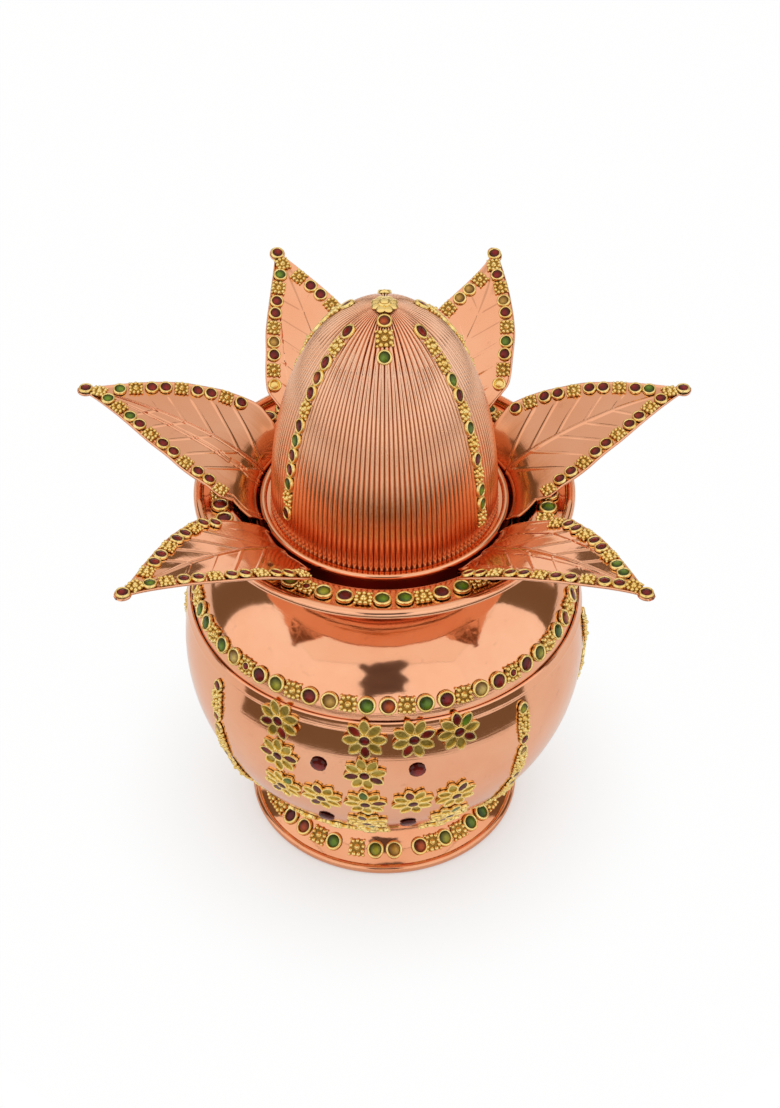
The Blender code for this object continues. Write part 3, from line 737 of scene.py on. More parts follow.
# small shapes of the trims, in metres: x along a strip, y across it, z off its seat
stoneWork = {
    "bezel": 0.00340, "bezelStone": 0.00242, "bezelHeight": 0.00130, "bezelSides": 20, "stoneSides": 12,
    "petalIn": 0.0019, "petalOut": 0.0088, "petalHalf": 0.00225, "petalRim": 0.00058, "petalHeight": 0.00110,
    "petalDepth": 0.00075, "petalEdge": 0.00012, "gemBase": 0.00030, "gemHeight": 0.00035, "gemBevel": 0.0006,
    "gemTop": 0.0003, "heart": 0.76, "heartLift": 0.0006, "floorLift": -0.0004,
}
beadWork = {
    "plate": 0.0032, "plateHeight": 0.00045, "plateSquare": 0.08, "ring": 9, "ringReach": 0.00262,
    "ringSquare": 0.06, "ringLift": 0.00062, "bead": 0.00086, "corners": 4, "cornerReach": 0.0038,
    "cornerLift": 0.00040, "cornerBead": 0.00056, "boss": [(0.00152, 0.00012), (0.00092, 0.00125)],
    "centre": 0.5, "centreLift": 0.0004,
}


def keepShape(bm, name):
    shape = bpy.data.meshes.new(name)
    bm.to_mesh(shape)
    bm.free()
    return shape


def bezelShape():
    r, h = stoneWork["bezel"], stoneWork["bezelHeight"]
    inner = stoneWork["bezelStone"]
    profile = [(inner - 0.0001, 0.0001), (inner, h * 0.78), (inner + 0.00018, h * 0.97), (inner + 0.00045, h),
               (r - 0.00018, h * 0.86), (r, h * 0.45), (r, 0.0001)]
    return keepShape(turnProfile(profile, stoneWork["bezelSides"]), "bezelShape")


def stoneShape():
    r = stoneWork["bezelStone"] - 0.00006
    profile = [(0.0, 0.0004), (r, 0.0005), (r, 0.00078), (r * 0.80, 0.00112), (r * 0.42, 0.00132),
               (0.0, 0.00136)]
    return keepShape(turnProfile(profile, stoneWork["stoneSides"], False), "stoneShape")


def addBead(bm, place, radius, sides=8, rows=5):
    made = bmesh.ops.create_uvsphere(bm, u_segments=sides, v_segments=rows, radius=radius)
    bmesh.ops.translate(bm, verts=made["verts"], vec=place)


def raiseFaces(bm, height):
    top = bmesh.ops.extrude_face_region(bm, geom=bm.faces[:])
    raised = [item for item in top["geom"] if isinstance(item, bmesh.types.BMVert)]
    bmesh.ops.translate(bm, verts=raised, vec=(0, 0, height))
    bmesh.ops.recalc_face_normals(bm, faces=bm.faces)


def clusterShape(hollow):
    bm = bmesh.new()
    plate = bmesh.ops.create_circle(bm, cap_ends=True, segments=24, radius=beadWork["plate"])
    for vert in plate["verts"]:
        angle = math.atan2(vert.co.y, vert.co.x)
        vert.co *= 1.0 - beadWork["plateSquare"] * math.cos(4 * angle)
    raiseFaces(bm, beadWork["plateHeight"])
    for face in bm.faces:
        face.material_index = 1  # painted shade: the plate between the beads is darker
    count = len(bm.faces)
    if not hollow:
        for radius, lift in beadWork["boss"]:
            addBead(bm, (0.0, 0.0, lift), radius)
    for i in range(beadWork["ring"]):
        angle = (i + 0.25) * math.tau / beadWork["ring"]
        square = 1.0 - beadWork["ringSquare"] * math.cos(4 * angle)  # fuller at the corners
        reach = beadWork["ringReach"] * square
        spot = (reach * math.cos(angle), reach * math.sin(angle), beadWork["ringLift"])
        addBead(bm, spot, beadWork["bead"])
    reach = beadWork["cornerReach"]
    for i in range(beadWork["corners"]):
        angle = (i + 0.5) * math.tau / beadWork["corners"]
        spot = (reach * math.cos(angle), reach * math.sin(angle), beadWork["cornerLift"])
        addBead(bm, spot, beadWork["cornerBead"])
    bm.faces.ensure_lookup_table()
    for face in bm.faces[count:]:
        face.material_index = 0
    return keepShape(bm, "clusterShape")


def addAlmond(bm, sides, margin, trim, power, base, height):
    middle = (stoneWork["petalIn"] + stoneWork["petalOut"]) / 2
    reach = (stoneWork["petalOut"] - stoneWork["petalIn"]) / 2 - margin
    made = bmesh.ops.create_circle(bm, cap_ends=True, segments=sides, radius=1.0)
    for vert in made["verts"]:
        angle = math.atan2(vert.co.y, vert.co.x)
        wide = (stoneWork["petalHalf"] - trim) * abs(math.sin(angle)) ** power
        vert.co = (middle + reach * math.cos(angle), math.copysign(wide, math.sin(angle)), base)
    raiseFaces(bm, height)
    return [face for face in bm.faces if face.normal.z > 0.9]


def petalShape():
    bm = bmesh.new()
    lid = addAlmond(bm, sides=18, margin=0.0, trim=0.0, power=1.4, base=0.0, height=stoneWork["petalHeight"])
    edge = stoneWork["petalEdge"]
    bmesh.ops.inset_region(bm, faces=lid, thickness=stoneWork["petalRim"], depth=0.0)
    bmesh.ops.inset_region(bm, faces=lid, thickness=edge, depth=-stoneWork["petalDepth"])
    for face in lid:
        # the sunken floor takes the darker gilt, painted shade
        face.material_index = 2
    high = stoneWork["petalHeight"] - 1e-5
    rim = [side for side in bm.edges if side.calc_face_angle(0.0) > 0.8 and side.verts[0].co.z > high]
    bmesh.ops.bevel(bm, geom=rim, offset=edge, affect="EDGES", segments=2, profile=0.5, material=-1)
    return keepShape(bm, "petalShape")


def petalStoneShape():
    bm = bmesh.new()
    rim = stoneWork["petalRim"]
    base, height = stoneWork["gemBase"], stoneWork["gemHeight"]
    lid = addAlmond(bm, sides=12, margin=rim * 1.5, trim=rim, power=1.3, base=base, height=height)
    bmesh.ops.inset_region(bm, faces=lid, thickness=stoneWork["gemBevel"], depth=stoneWork["gemTop"])
    return keepShape(bm, "petalStoneShape")


shapes = {
    "bezel": bezelShape(), "stone": stoneShape(), "cluster": clusterShape(False), "ring": clusterShape(True),
    "petal": petalShape(), "petalStone": petalStoneShape(),
}
giltFinishes = [gilt, pit, petalShade]
stonePots = {}  # one bmesh of stones for each body and colour


def stamp(bm, shape, place, size=1.0, turn=0.0, shift=(0.0, 0.0), lift=0.0):
    first = len(bm.verts)
    bm.from_mesh(shape)
    bm.verts.ensure_lookup_table()
    cosine, sine = math.cos(turn) * size, math.sin(turn) * size
    fresh = bm.verts[first:]
    for vert in fresh:
        x, y, z = vert.co
        across, ahead = x * cosine - y * sine, x * sine + y * cosine
        vert.co = place(across + shift[0], ahead + shift[1], z * size + lift)
    return fresh


stoneKinds = {
    "r": ("red", 0.05), "R": ("red", 0.0), "o": ("red", 0.85), "g": ("green", 0.15), "G": ("green", 0.0),
    "y": ("green", 0.85), "a": ("amber", 0.15), "A": ("amber", 0.9), "b": ("amber", 0.0),
}
# stone tone: painted shade at the girdle and a painted highlight set off the middle
stoneTone = {
    "light": (0.75, 1.1), "deep": 0.55, "vary": (-0.06, 0.10), "spot": (0.15, -0.25), "girdle": 0.10,
    "middle": 1.15, "fall": 1.05,
}


def setStone(body, kind, shape, place, size=1.0, turn=0.0, shift=(0.0, 0.0), lift=0.0):
    colour, warm = stoneKinds[kind]
    key = (body, colour)
    if key not in stonePots:
        bm = bmesh.new()
        stonePots[key] = (bm, bm.verts.layers.float.new("tone"), bm.verts.layers.float.new("warm"))
    bm, toneLayer, warmLayer = stonePots[key]
    spots = [vert.co.copy() for vert in shape.vertices]
    fresh = stamp(bm, shape, place, size, turn, shift, lift)
    reach = max(spot.xy.length for spot in spots)
    light = random.uniform(*stoneTone["light"]) * (stoneTone["deep"] if kind in "RG" else 1.0)
    shade = min(1.0, max(0.0, warm + random.uniform(*stoneTone["vary"])))
    # painted highlight at this spot, fading to painted shade at the girdle
    highlightSpot = Vector(stoneTone["spot"]) * reach
    for vert, spot in zip(fresh, spots):
        off = (spot.xy - highlightSpot).length / reach
        vert[toneLayer] = light * max(stoneTone["girdle"], stoneTone["middle"] - stoneTone["fall"] * off)
        vert[warmLayer] = shade


def bezelAt(bm, body, kind, place, x=0.0, size=1.0):
    stamp(bm, shapes["bezel"], place, size, random.uniform(0, 0.3), (x, 0.0))
    if kind == "0":  # an empty setting shows its gilt floor
        stamp(bm, shapes["stone"], place, size, 0.0, (x, 0.0), stoneWork["floorLift"])
    else:
        setStone(body, kind, shapes["stone"], place, size, random.uniform(0, 0.5), (x, 0.0))


def clusterAt(bm, body, kind, place, x=0.0, size=1.0):
    shape = shapes["cluster" if kind == "*" else "ring"]
    stamp(bm, shape, place, size, random.uniform(-0.1, 0.1), (x, 0.0))
    if kind != "*":  # a small stone in the middle
        size, lift = size * beadWork["centre"], beadWork["centreLift"]
        stamp(bm, shapes["bezel"], place, size, 0.0, (x, 0.0), lift)
        setStone(body, kind, shapes["stone"], place, size, 0.0, (x, 0.0), lift)


def unitAt(bm, body, kind, place, beads, bezel):
    if kind == "*":
        clusterAt(bm, body, kind, place, 0.0, beads)
    else:
        bezelAt(bm, body, kind, place, 0.0, bezel)


def addGilt(name, bm, body, nodes, sharp=50.0):
    addPiece(name, bm, giltFinishes, body, nodes, sharp)


def flowerAt(bm, body, petals, heart, place, size, turn):
    for i, kind in enumerate(petals):
        angle = turn + i * math.tau / len(petals)
        stamp(bm, shapes["petal"], place, size, angle)
        if kind != "0":
            setStone(body, kind, shapes["petalStone"], place, size, angle)
    size, lift = size * stoneWork["heart"], stoneWork["heartLift"]
    stamp(bm, shapes["bezel"], place, size, 0.0, (0.0, 0.0), lift)
    setStone(body, heart, shapes["stone"], place, size, 0.2, (0.0, 0.0), lift)


# ways to lay a shape on the pot
def onShoulder(azimuth, rise):
    start = pot["waistLatitude"] + rise / pot["shoulderCurve"]
    middle = shoulderCentre[0] + pot["shoulderCurve"] * math.cos(start)

    def place(x, y, z):
        angle = start + y / pot["shoulderCurve"]
        reach = pot["shoulderCurve"] + z
        radius = shoulderCentre[0] + reach * math.cos(angle)
        return atAzimuth(radius, azimuth + x / middle, shoulderCentre[1] + reach * math.sin(angle))

    return place


def onFlange(azimuth, middle):
    def place(x, y, z):
        return atAzimuth(middle - y, azimuth + x / middle, mouthHeight + z)

    return place


def onFoot(azimuth, spot):
    length = (footFace(1.0) - footFace(0.0)).length
    middle = footFace(spot).x

    def place(x, y, z):
        point = footFace(spot - y / length, z)
        return atAzimuth(point.x, azimuth + x / middle, point.y)

    return place


def onBowl(latitude, azimuth):
    normal = atAzimuth(math.cos(latitude), azimuth, math.sin(latitude))
    along = Vector((math.cos(azimuth), math.sin(azimuth), 0.0))
    up = normal.cross(along)
    centre = Vector((0.0, 0.0, bowlCentre))

    def place(x, y, z):
        direction = (normal * pot["bowlRadius"] + along * x + up * y).normalized()
        return centre + direction * (pot["bowlRadius"] + z)

    return place


def downBowl(latitude, azimuth):
    def place(x, y, z):
        angle = latitude - x / pot["bowlRadius"]
        reach = pot["bowlRadius"] + z
        turn = azimuth + y / (pot["bowlRadius"] * math.cos(angle))
        return atAzimuth(reach * math.cos(angle), turn, bowlCentre + reach * math.sin(angle))

    return place


domeSteps = 400
domeRises = [math.cos(i / domeSteps * math.pi / 2) for i in range(1, domeSteps + 1)]
domeLine = [(0.0, domeBase + coconut["height"])]
domeLine += [(domeRadius(rise), domeBase + coconut["height"] * rise) for rise in domeRises]
domeReach = [0.0]
for first, second in zip(domeLine, domeLine[1:]):
    domeReach.append(domeReach[-1] + math.dist(first, second))


def domeSpot(reach):
    reach = min(max(reach, 0.0), domeReach[-1])
    low = max(0, next(i for i, value in enumerate(domeReach) if value >= reach) - 1)
    share = (reach - domeReach[low]) / max(domeReach[low + 1] - domeReach[low], 1e-9)
    point = Vector(domeLine[low]).lerp(Vector(domeLine[low + 1]), share)
    along = Vector(domeLine[min(low + 3, domeSteps)]) - Vector(domeLine[max(low - 3, 0)])
    return point, Vector((-along.y, along.x)).normalized()


def downDome(azimuth, start):
    point, outward = domeSpot(start)
    centre = atAzimuth(point.x, azimuth, point.y)
    normal = atAzimuth(outward.x, azimuth, outward.y)
    aside = atAzimuth(1.0, azimuth + math.pi / 2, 0.0)
    along = aside.cross(normal)

    def place(x, y, z):
        sink = (x * x + y * y) / (2 * coconut["bend"])
        return centre + along * x + aside * y + normal * (z - sink)

    return place


seat = 0.0002  # trims stand this far off the copper
# strips around the pot: bezel, cluster, bezel in each unit
waistStrip = {
    "units": 21, "turn": -10.6, "step": 0.0067, "rise": 0.0085,
    "front": {-4: "r*g", -3: "G*g", -2: "ArR", -1: "y*r", 0: "a*g", 1: "o*g", 2: "r*A", 3: "rrR", 4: "y*G",
              5: "o*r"},
}
mouthStrip = {
    "units": 18, "turn": -7.0, "step": 0.0066, "radius": 0.0602, "front": {0: "R*g", 1: "g*R"},
}
footStrip = {
    "spot": 0.75, "beads": 0.98, "bezel": 0.96, "backGap": 9.0, "back": "r*gy*oG*rg*ar*G",
    "front": [(-70.0, "*"), (-61.5, "*"), (-52.4, "R"), (-42.6, "o"), (-33.6, "*"), (-25.3, "g"),
              (-13.4, "*"), (-4.4, "y"), (4.6, "b"), (17.2, "o"), (23.8, "*"), (30.4, "y"),
              (38.6, "*"), (46.4, "g"), (55.4, "G"), (63.6, "*"), (72.0, "R")],
}


def anyStone():
    return random.choice("rrrRRoggGya")


def seated(place, lift=0.0):
    return lambda x, y, z: place(x, y, z + lift + seat)


def ringStrip(name, node, strip, placeAt):
    bm = bmesh.new()
    for unit in range(strip["units"]):
        spot = unit if unit <= strip["units"] // 2 else unit - strip["units"]
        kinds = strip["front"].get(spot, (anyStone(), random.choice("****r"), anyStone()))
        place = seated(placeAt(math.radians(strip["turn"]) + math.tau * unit / strip["units"]))
        bezelAt(bm, "pot", kinds[0], place, -strip["step"])
        clusterAt(bm, "pot", kinds[1], place)
        bezelAt(bm, "pot", kinds[2], place, strip["step"])
    addGilt(name, bm, "pot", [node])


def makeFootStrip():
    bm = bmesh.new()
    spots = list(footStrip["front"])
    start = spots[-1][0] + footStrip["backGap"]
    stop = spots[0][0] + 360.0 - footStrip["backGap"]
    step = (stop - start) / (len(footStrip["back"]) - 1)
    spots += [(start + step * i, kind) for i, kind in enumerate(footStrip["back"])]
    for degrees, kind in spots:
        place = seated(onFoot(math.radians(degrees), footStrip["spot"]))
        unitAt(bm, "pot", kind, place, footStrip["beads"], footStrip["bezel"])
    addGilt("foot_stones", bm, "pot", ["foot_trim"])


ringStrip("waist_stones", "waist_trim", waistStrip, lambda turn: onShoulder(turn, waistStrip["rise"]))
ringStrip("mouth_stones", "mouth_trim", mouthStrip, lambda turn: onFlange(turn, mouthStrip["radius"]))
makeFootStrip()
print("ring strips set")

# upright strips on the bowl, chains of pointed units
bowlStrip = {
    "count": 7, "turn": -6.0, "gap": 96.0, "top": 12.5, "unit": 0.0212, "units": 4, "pointed": 0.35,
    "end": 0.0076, "first": 0.80, "last": 0.78, "bead": 0.0028, "beads": 0.90,
}


def pointed(place, length):
    def shaped(x, y, z):
        share = min(1.0, abs(x) / (length / 2))
        return place(x, y * (1.0 - bowlStrip["pointed"] * share ** 2), z)

    return shaped


def makeBowlStrips():
    pitch = (360.0 - bowlStrip["gap"]) / (bowlStrip["count"] - 1)
    for i in range(bowlStrip["count"]):
        turn = math.radians(bowlStrip["turn"] + bowlStrip["gap"] / 2 + pitch * i)
        bm = bmesh.new()
        for unit in range(bowlStrip["units"]):
            down = bowlStrip["unit"] * (unit + 0.5)
            base = downBowl(math.radians(bowlStrip["top"]) - down / pot["bowlRadius"], turn)
            place = pointed(seated(base), bowlStrip["unit"])
            ends = random.choice(("gR", "aR", "yr", "Rg", "ro"))
            bezelAt(bm, "pot", ends[0], place, -bowlStrip["end"], bowlStrip["first"])
            for spot in (-bowlStrip["bead"], bowlStrip["bead"]):
                clusterAt(bm, "pot", "*", place, spot, bowlStrip["beads"])
            bezelAt(bm, "pot", ends[1], place, bowlStrip["end"], bowlStrip["last"])
        addGilt("bowl_stones_%d" % (i + 1), bm, "pot", ["bowl_trim_%d" % (i + 1)])


makeBowlStrips()

# the sign of flowers on the front: columns at azimuths, rows at latitudes
flowerSign = {
    "columns": [-30.2, -18.0, -5.4, 8.0, 20.6], "rows": [12.4, -0.2, -13.2, -26.4, -39.6], "size": 0.93,
    "overBand": 0.0009, "dot": 1.32, "dotSink": -0.0004,
    "flowers": {
        (0, 0): "0000R0r0", (2, 0): "000r00R0", (3, 0): "R0000r00", (4, 0): "0gR0000R",
        (0, 1): "R000r000", (2, 1): "0000R00R", (0, 2): "0g000R00", (1, 2): "00R00R00", (2, 2): "R0g00000",
        (3, 2): "00r00000", (4, 2): "0R000000", (2, 3): "00R000g0", (4, 3): "0g000R00", (4, 4): "0000R000",
        (2, 4): "0R00r000", (1, 4): "00R00000", (0, 4): "0r0000R0",
    },
    "dots": [(-18.3, 0.8), (9.0, 0.8), (-18.8, -28.0), (7.6, -28.6)],
}


def makeFlowerSign():
    bm = bmesh.new()
    for (column, row), petals in flowerSign["flowers"].items():
        latitude, azimuth = math.radians(flowerSign["rows"][row]), math.radians(flowerSign["columns"][column])
        lift = 0.0 if row else flowerSign["overBand"]  # the top row rides over the seam band
        place = seated(onBowl(latitude, azimuth), lift)
        flowerAt(bm, "pot", petals, "R", place, flowerSign["size"], random.uniform(0, 0.5))
    addGilt("flower_sign", bm, "pot", (), 40.0)
    for azimuth, latitude in flowerSign["dots"]:
        place = onBowl(math.radians(latitude), math.radians(azimuth))
        setStone("pot", "r", shapes["stone"], place, flowerSign["dot"], lift=flowerSign["dotSink"])


makeFlowerSign()
print("bowl strips and flowers set")

# strips along the leaf edges, from the tip towards the root
leafStrip = {
    "inset": 0.0031, "shared": 0.0054, "start": 0.0106, "stagger": 0.0026, "bezelStep": 0.0051,
    "clusterStep": 0.0067, "bezel": 0.77, "beads": 0.84, "rise": 0.00025, "tipRise": 0.0003, "walk": 299,
    "walkEnd": 0.06, "stops": {"front": (0.215, 0.27), "side": (0.17, 0.25), "back": (0.30, 0.34)},
}


def edgeWalk(leaf, side):
    sign = 1 if side else -1
    walk = []
    last = None
    reach = 0.0
    for i in range(leafStrip["walk"] + 1):
        place = 1.0 - i / leafStrip["walk"] * (1.0 - leafStrip["walkEnd"])
        half = smoothHalf(leaf, place, side)
        across = max(0.0, half - leafStrip["inset"]) / max(half, 1e-6)
        point = leafPoint(leaf, place, sign * across, half)
        if last is not None:
            reach += (point - last).length
        last = point
        walk.append((reach, place))
    return walk


def layOn(here, along, aside, rise):
    normal = along.cross(aside).normalized()
    if normal.z < 0:
        normal = -normal
    aside = normal.cross(along)
    rise += leafSheet["sheet"] / 2

    def place(x, y, z):
        return here + along * x + aside * y + normal * (z + rise)

    return place


def onLeafEdge(leaf, side, walk, reach):
    sign = 1 if side else -1

    def centre(distance):
        for (d0, p0), (d1, p1) in zip(walk, walk[1:]):
            if d1 >= distance:
                return p0 + (p1 - p0) * (distance - d0) / max(d1 - d0, 1e-9)
        return walk[-1][1]

    def spotAt(distance, aside):
        place = centre(distance)
        half = smoothHalf(leaf, place, side)
        across = (max(0.0, half - leafStrip["inset"]) + aside) / max(half, 0.0004)
        return leafPoint(leaf, place, sign * across, half)

    along = (spotAt(reach + 0.0015, 0.0) - spotAt(max(0.0, reach - 0.0015), 0.0)).normalized()
    aside = (spotAt(reach, 0.001) - spotAt(reach, -0.001)).normalized()
    return layOn(spotAt(reach, 0.0), along, aside, leafStrip["rise"])


leafOrders = {
    "back_left": ("*rr***", "g*rr*ar*00*"), "side_left": ("g*rr*rr*r*", "g*gr*rr*rr*r*"),
    "front_left": ("*rr*rr*rr*", "g*rr*rr*rr*"), "front_right": ("rr*rr*rr*", "gg*rr*rr*r*"),
    "side_right": ("r*rr*rr*rr*", "gr*rr*rr*r*"), "back_right": ("r*ar*gr*00*", "*aa***"),
}


def makeLeafStrip(leaf):
    bm = bmesh.new()
    tip = leafPoint(leaf, 1 - leafSheet["tipRound"] / leaf["length"], 0.0, 0.001)
    ahead = (leafPoint(leaf, 0.975, 0.0, 0.001) - leafPoint(leaf, 0.93, 0.0, 0.001)).normalized()
    atTip = layOn(tip, ahead, leaf["sideways"], leafStrip["tipRise"])
    bezelAt(bm, "leaf_crown", "r", atTip, 0.0, leafStrip["bezel"])
    clusterAt(bm, "leaf_crown", "*", atTip, -leafStrip["shared"], leafStrip["beads"])
    for side in (0, 1):
        walk = edgeWalk(leaf, side)
        towardFront = (side == 1) == (leaf["azimuth"] < 0)
        reach = leafStrip["start"] + (0.0 if towardFront else leafStrip["stagger"])
        stop = leafStrip["stops"][leaf["pair"]][0 if towardFront else 1]
        for kind in leafOrders[leaf["name"]][side] * 2:
            step = leafStrip["clusterStep" if kind == "*" else "bezelStep"]
            reach += step / 2
            if next((place for distance, place in walk if distance >= reach), 0.0) < stop:
                break
            place = onLeafEdge(leaf, side, walk, reach)
            unitAt(bm, "leaf_crown", kind, place, leafStrip["beads"], leafStrip["bezel"])
            reach += step / 2
    addGilt("leaf_stones_" + leaf["name"], bm, "leaf_crown", ["leaf_trim_" + leaf["name"]])


for leaf in leaves:
    makeLeafStrip(leaf)
print("leaf strips set")

# strips down the coconut and the flower on its crown
coconutStrip = {
    "orders": ("o*g", "r**gR*G*R*gg*R", "r*rg*r*gG*r*R", "g*ro*r*g*R*gr", "r*gr*r*Gg*r*g", "r*ror*RgrrG*R"),
    "turns": (0.0, 56.5, 120.0, 180.0, 240.0, -56.5), "start": 0.0047, "longStart": 0.0130, "bezel": 0.81,
    "longBezel": 0.92, "bezelStep": 0.0061, "clusterStep": 0.0070, "narrow": 0.76, "hem": 0.0015,
}
crownFlower = {
    "petals": 8, "reach": 0.0033, "petal": 0.72, "petalLift": 0.0001, "bezel": 0.72, "bezelLift": 0.0006,
    "heart": 0.74, "heartLift": 0.0011, "rise": 0.0003,
}


def narrowed(place, share):
    return lambda x, y, z: place(x, y * share, z)  # oval stones


def makeCoconutStrips():
    for i, (turn, order) in enumerate(zip(coconutStrip["turns"], coconutStrip["orders"])):
        reach = coconutStrip["longStart" if i else "start"]  # the first strip, in front, is short
        bezel = coconutStrip["longBezel" if i else "bezel"]
        bm = bmesh.new()
        for kind in order:
            step = coconutStrip["clusterStep" if kind == "*" else "bezelStep"]
            if reach + step > domeReach[-1] - coconutStrip["hem"]:
                break
            place = downDome(math.radians(turn), reach + step / 2)
            place = narrowed(place, coconutStrip["narrow"] if i else 1.0)
            unitAt(bm, "coconut", kind, place, 1.0, bezel)
            reach += step
        addGilt("coconut_stones_%d" % (i + 1), bm, "coconut", ["coconut_trim_%d" % (i + 1)])


def makeCrownFlower():
    bm = bmesh.new()

    def place(x, y, z):
        reach = math.hypot(x, y) / coconut["radius"]
        rise = (1 - reach ** coconut["sidePower"]) ** (1 / coconut["crownPower"])
        return Vector((x, y, domeBase + rise * coconut["height"] + crownFlower["rise"] + z))

    reach = crownFlower["reach"]
    for i in range(crownFlower["petals"]):
        angle = (i + 0.5) * math.tau / crownFlower["petals"]
        shift = (reach * math.cos(angle), reach * math.sin(angle))
        stamp(bm, shapes["stone"], place, crownFlower["petal"], 0.0, shift, crownFlower["petalLift"])
    stamp(bm, shapes["bezel"], place, crownFlower["bezel"], 0.0, (0.0, 0.0), crownFlower["bezelLift"])
    stamp(bm, shapes["stone"], place, crownFlower["heart"], 0.0, (0.0, 0.0), crownFlower["heartLift"])
    addGilt("crown_flower", bm, "coconut", ["apex_flower"], 40.0)


def makeHemBeads():
    bm = bmesh.new()
    for i in range(pleats["ribs"]):
        turn = math.tau * (i + 0.5) / pleats["ribs"]
        addBead(bm, atAzimuth(coconut["radius"] - 0.0001, turn, domeBase + 0.0007), coconut["hemBead"], 6, 4)
    addPiece("hem_beads", bm, [domeCopper], "coconut", (), 60.0)


makeCoconutStrips()
makeCrownFlower()
makeHemBeads()
for (body, colour), stones in stonePots.items():
    name = body + "_" + colour + "_stones"
    addPiece(name, stones[0], [stoneFinishes[colour]], body, (), 0.0)
for shape in shapes.values():
    bpy.data.meshes.remove(shape)
print("coconut strips and stones set")

# floor and light
studio = {
    "floorColour": (0.93, 0.93, 0.93), "clouded": 0.985, "white": 0.985, "mirrored": 0.45,
    "room": (0.19, 0.14, 0.085), "rings": (0.08, 0.16, 0.20, 0.50, 0.9, 1.5), "gap": 70.0, "below": -0.0002,
    "contact": 0.09, "clear": 1.2,
}


def makeFloor():
    below = studio["below"]
    bm = turnProfile([(0.0, below)] + [(ring, below) for ring in studio["rings"]], 144, False)
    dark = []  # the table ends in front, out of the picture, which the pot mirrors as a dark line
    for face in bm.faces:
        middle = face.calc_center_median()
        side = math.degrees(abs(math.atan2(middle.x, -middle.y)))
        if studio["rings"][2] < middle.length < studio["rings"][3] and side < studio["gap"]:
            dark.append(face)
        elif face.normal.z < 0:
            face.normal_flip()
    bmesh.ops.delete(bm, geom=dark, context="FACES")
    material, tree, shader = newMaterial("white_floor")
    cloud = noiseNode(tree, objectPoint(tree), 9.0, 2.0)
    pale = tuple(value * studio["clouded"] for value in studio["floorColour"])
    tint = mixColours(tree, cloud, studio["floorColour"], pale)
    feed(tree, shader, {"Base Color": tint, "Roughness": 0.7, "Specular IOR Level": 0.2})
    glow = tree.nodes.new("ShaderNodeEmission")  # plain white, for the camera and for reflections
    mixed = tree.nodes.new("ShaderNodeMixShader")
    path = tree.nodes.new("ShaderNodeLightPath").outputs
    near = tree.nodes.new("ShaderNodeAmbientOcclusion")  # the real shading shows close to the pot
    feed(tree, near, {"Distance": studio["contact"]})
    seen = mathNode(tree, "MULTIPLY", path["Is Camera Ray"], studio["white"])
    seen = mathNode(tree, "ADD", seen, mathNode(tree, "MULTIPLY", path["Is Glossy Ray"], studio["mirrored"]))
    clear = mathNode(tree, "MULTIPLY", near.outputs["AO"], studio["clear"])
    clear.node.use_clamp = True
    feed(tree, mixed, {"Fac": mathNode(tree, "MULTIPLY", seen, clear)})
    tree.links.new(shader.outputs["BSDF"], mixed.inputs[1])
    tree.links.new(glow.outputs["Emission"], mixed.inputs[2])
    feed(tree, tree.nodes["Material Output"], {"Surface": mixed.outputs["Shader"]})
    floor = meshObject("floor", bm, [material])


coolTint = (0.955, 1.0, 1.035)
warmTint = (1.0, 0.995, 0.985)
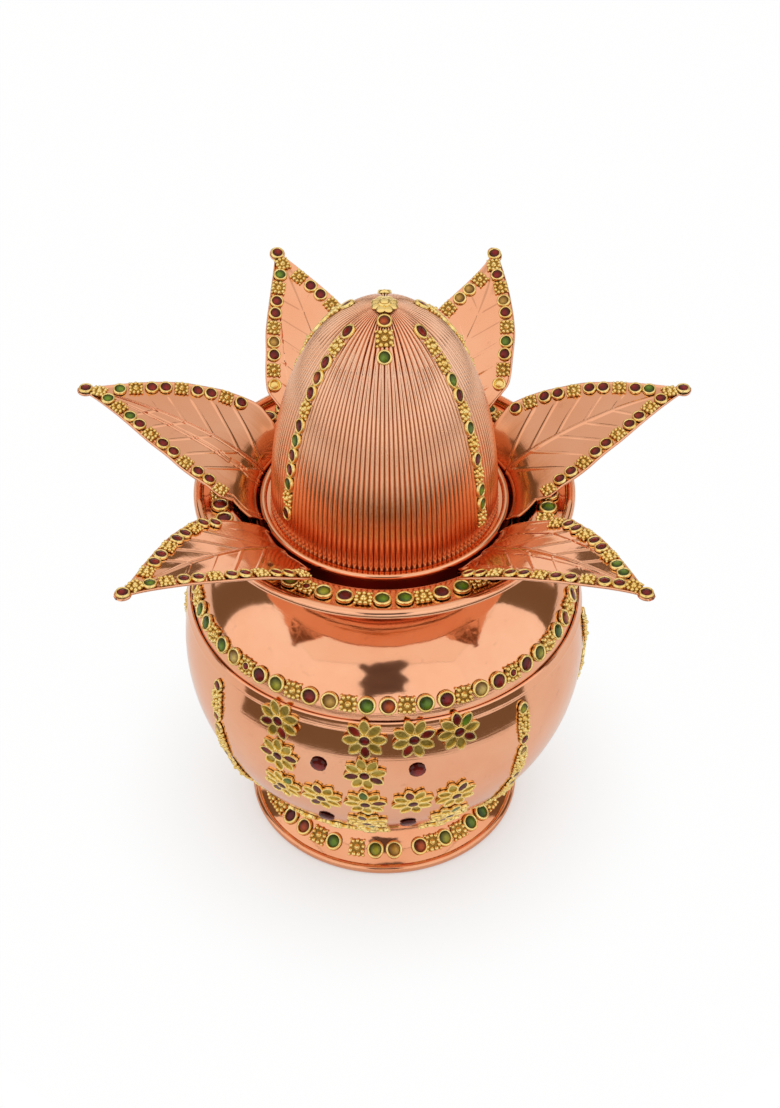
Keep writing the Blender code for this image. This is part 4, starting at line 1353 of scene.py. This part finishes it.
# softboxes: place, aim, width and height in metres, and the brightness of the face
panels = {
    "ceiling": {"at": (0.0, -0.45, 1.35), "aim": (0.0, -0.45, 0.0), "size": (2.4, 1.5), "face": 0.84},
    "ceiling_back": {"at": (0.0, 1.05, 1.35), "aim": (0.0, 1.05, 0.0), "size": (2.4, 1.5), "face": 0.58},
    "front": {"at": (0.0, -1.5, 0.864), "aim": (0.0, 0.0, 0.864), "size": (3.0, 1.5875),
              "face": 0.95, "tint": coolTint},
    "front_left": {"at": (-1.5, -0.615, 0.864), "aim": (0.0, -0.615, 0.864), "size": (1.77, 1.5875),
                   "face": 0.93, "tint": coolTint},
    "front_right": {"at": (1.5, -0.615, 0.864), "aim": (0.0, -0.615, 0.864), "size": (1.77, 1.5875),
                    "face": 0.92, "tint": coolTint},
    "back_left": {"at": (-0.99, 0.99, 0.33), "aim": (0.0, 0.0, 0.12), "size": (0.75, 0.45), "face": 0.75},
    "back_right": {"at": (0.99, 0.99, 0.33), "aim": (0.0, 0.0, 0.12), "size": (0.75, 0.45), "face": 0.75},
    "back": {"at": (0.0, 1.45, 0.40), "aim": (0.0, 0.0, 0.2), "size": (1.2, 0.7), "face": 0.85},
}
card = {
    "at": (0.0, -1.06, 0.78), "aim": (0.0, 0.0, 0.12), "size": (0.50, 0.70),
    "colour": (0.10, 0.075, 0.065), "paler": 2.2,
}


def facing(stand):
    return (Vector(stand["aim"]) - Vector(stand["at"])).to_track_quat("-Z", "Y")


def makeCard():
    bm = bmesh.new()
    bmesh.ops.create_grid(bm, x_segments=10, y_segments=14, size=0.5)
    turn = facing(card).to_matrix()
    for vert in bm.verts:  # cut roughly
        wide = vert.co.x * (1.0 + 0.4 * noise.noise((0.0, vert.co.y * 4.0, 2.0)))
        tall = vert.co.y + 0.18 * vert.co.x + 0.12 * noise.noise((vert.co.x * 5.0, 0.0, 5.0))
        vert.co = Vector(card["at"]) + turn @ Vector((wide * card["size"][0], tall * card["size"][1], 0.0))
    material, tree, shader = newMaterial("dark_cloth")
    cloud = noiseNode(tree, objectPoint(tree), 6.0, 3.0)
    tint = mixColours(tree, cloud, card["colour"], tuple(card["paler"] * value for value in card["colour"]))
    feed(tree, shader, {"Base Color": tint, "Roughness": 0.9})
    piece = meshObject("dark_card", bm, [material])
    piece.visible_camera = False  # only mirrored


def addPanel(name, panel):
    data = bpy.data.lights.new(name, "AREA")
    data.shape = "RECTANGLE"
    data.size, data.size_y = panel["size"]
    data.energy = panel["face"] * math.pi * data.size * data.size_y
    data.color = panel.get("tint", warmTint)
    lamp = bpy.data.objects.new(name, data)
    lamp.location = panel["at"]
    lamp.rotation_euler = facing(panel).to_euler()
    scene.collection.objects.link(lamp)


makeFloor()
makeCard()
for name, panel in panels.items():
    addPanel(name, panel)

world = bpy.data.worlds.new("studio_world")
world.use_nodes = True
tree = world.node_tree
seen = tree.nodes.new("ShaderNodeLightPath").outputs["Is Camera Ray"]
room = mixColours(tree, seen, studio["room"], (1.0, 1.0, 1.0))  # white to the camera, dim in the copper
feed(tree, tree.nodes["Background"], {"Color": room, "Strength": 1.0})
scene.world = world
scene.view_settings.view_transform = "Standard"
print("studio lit")
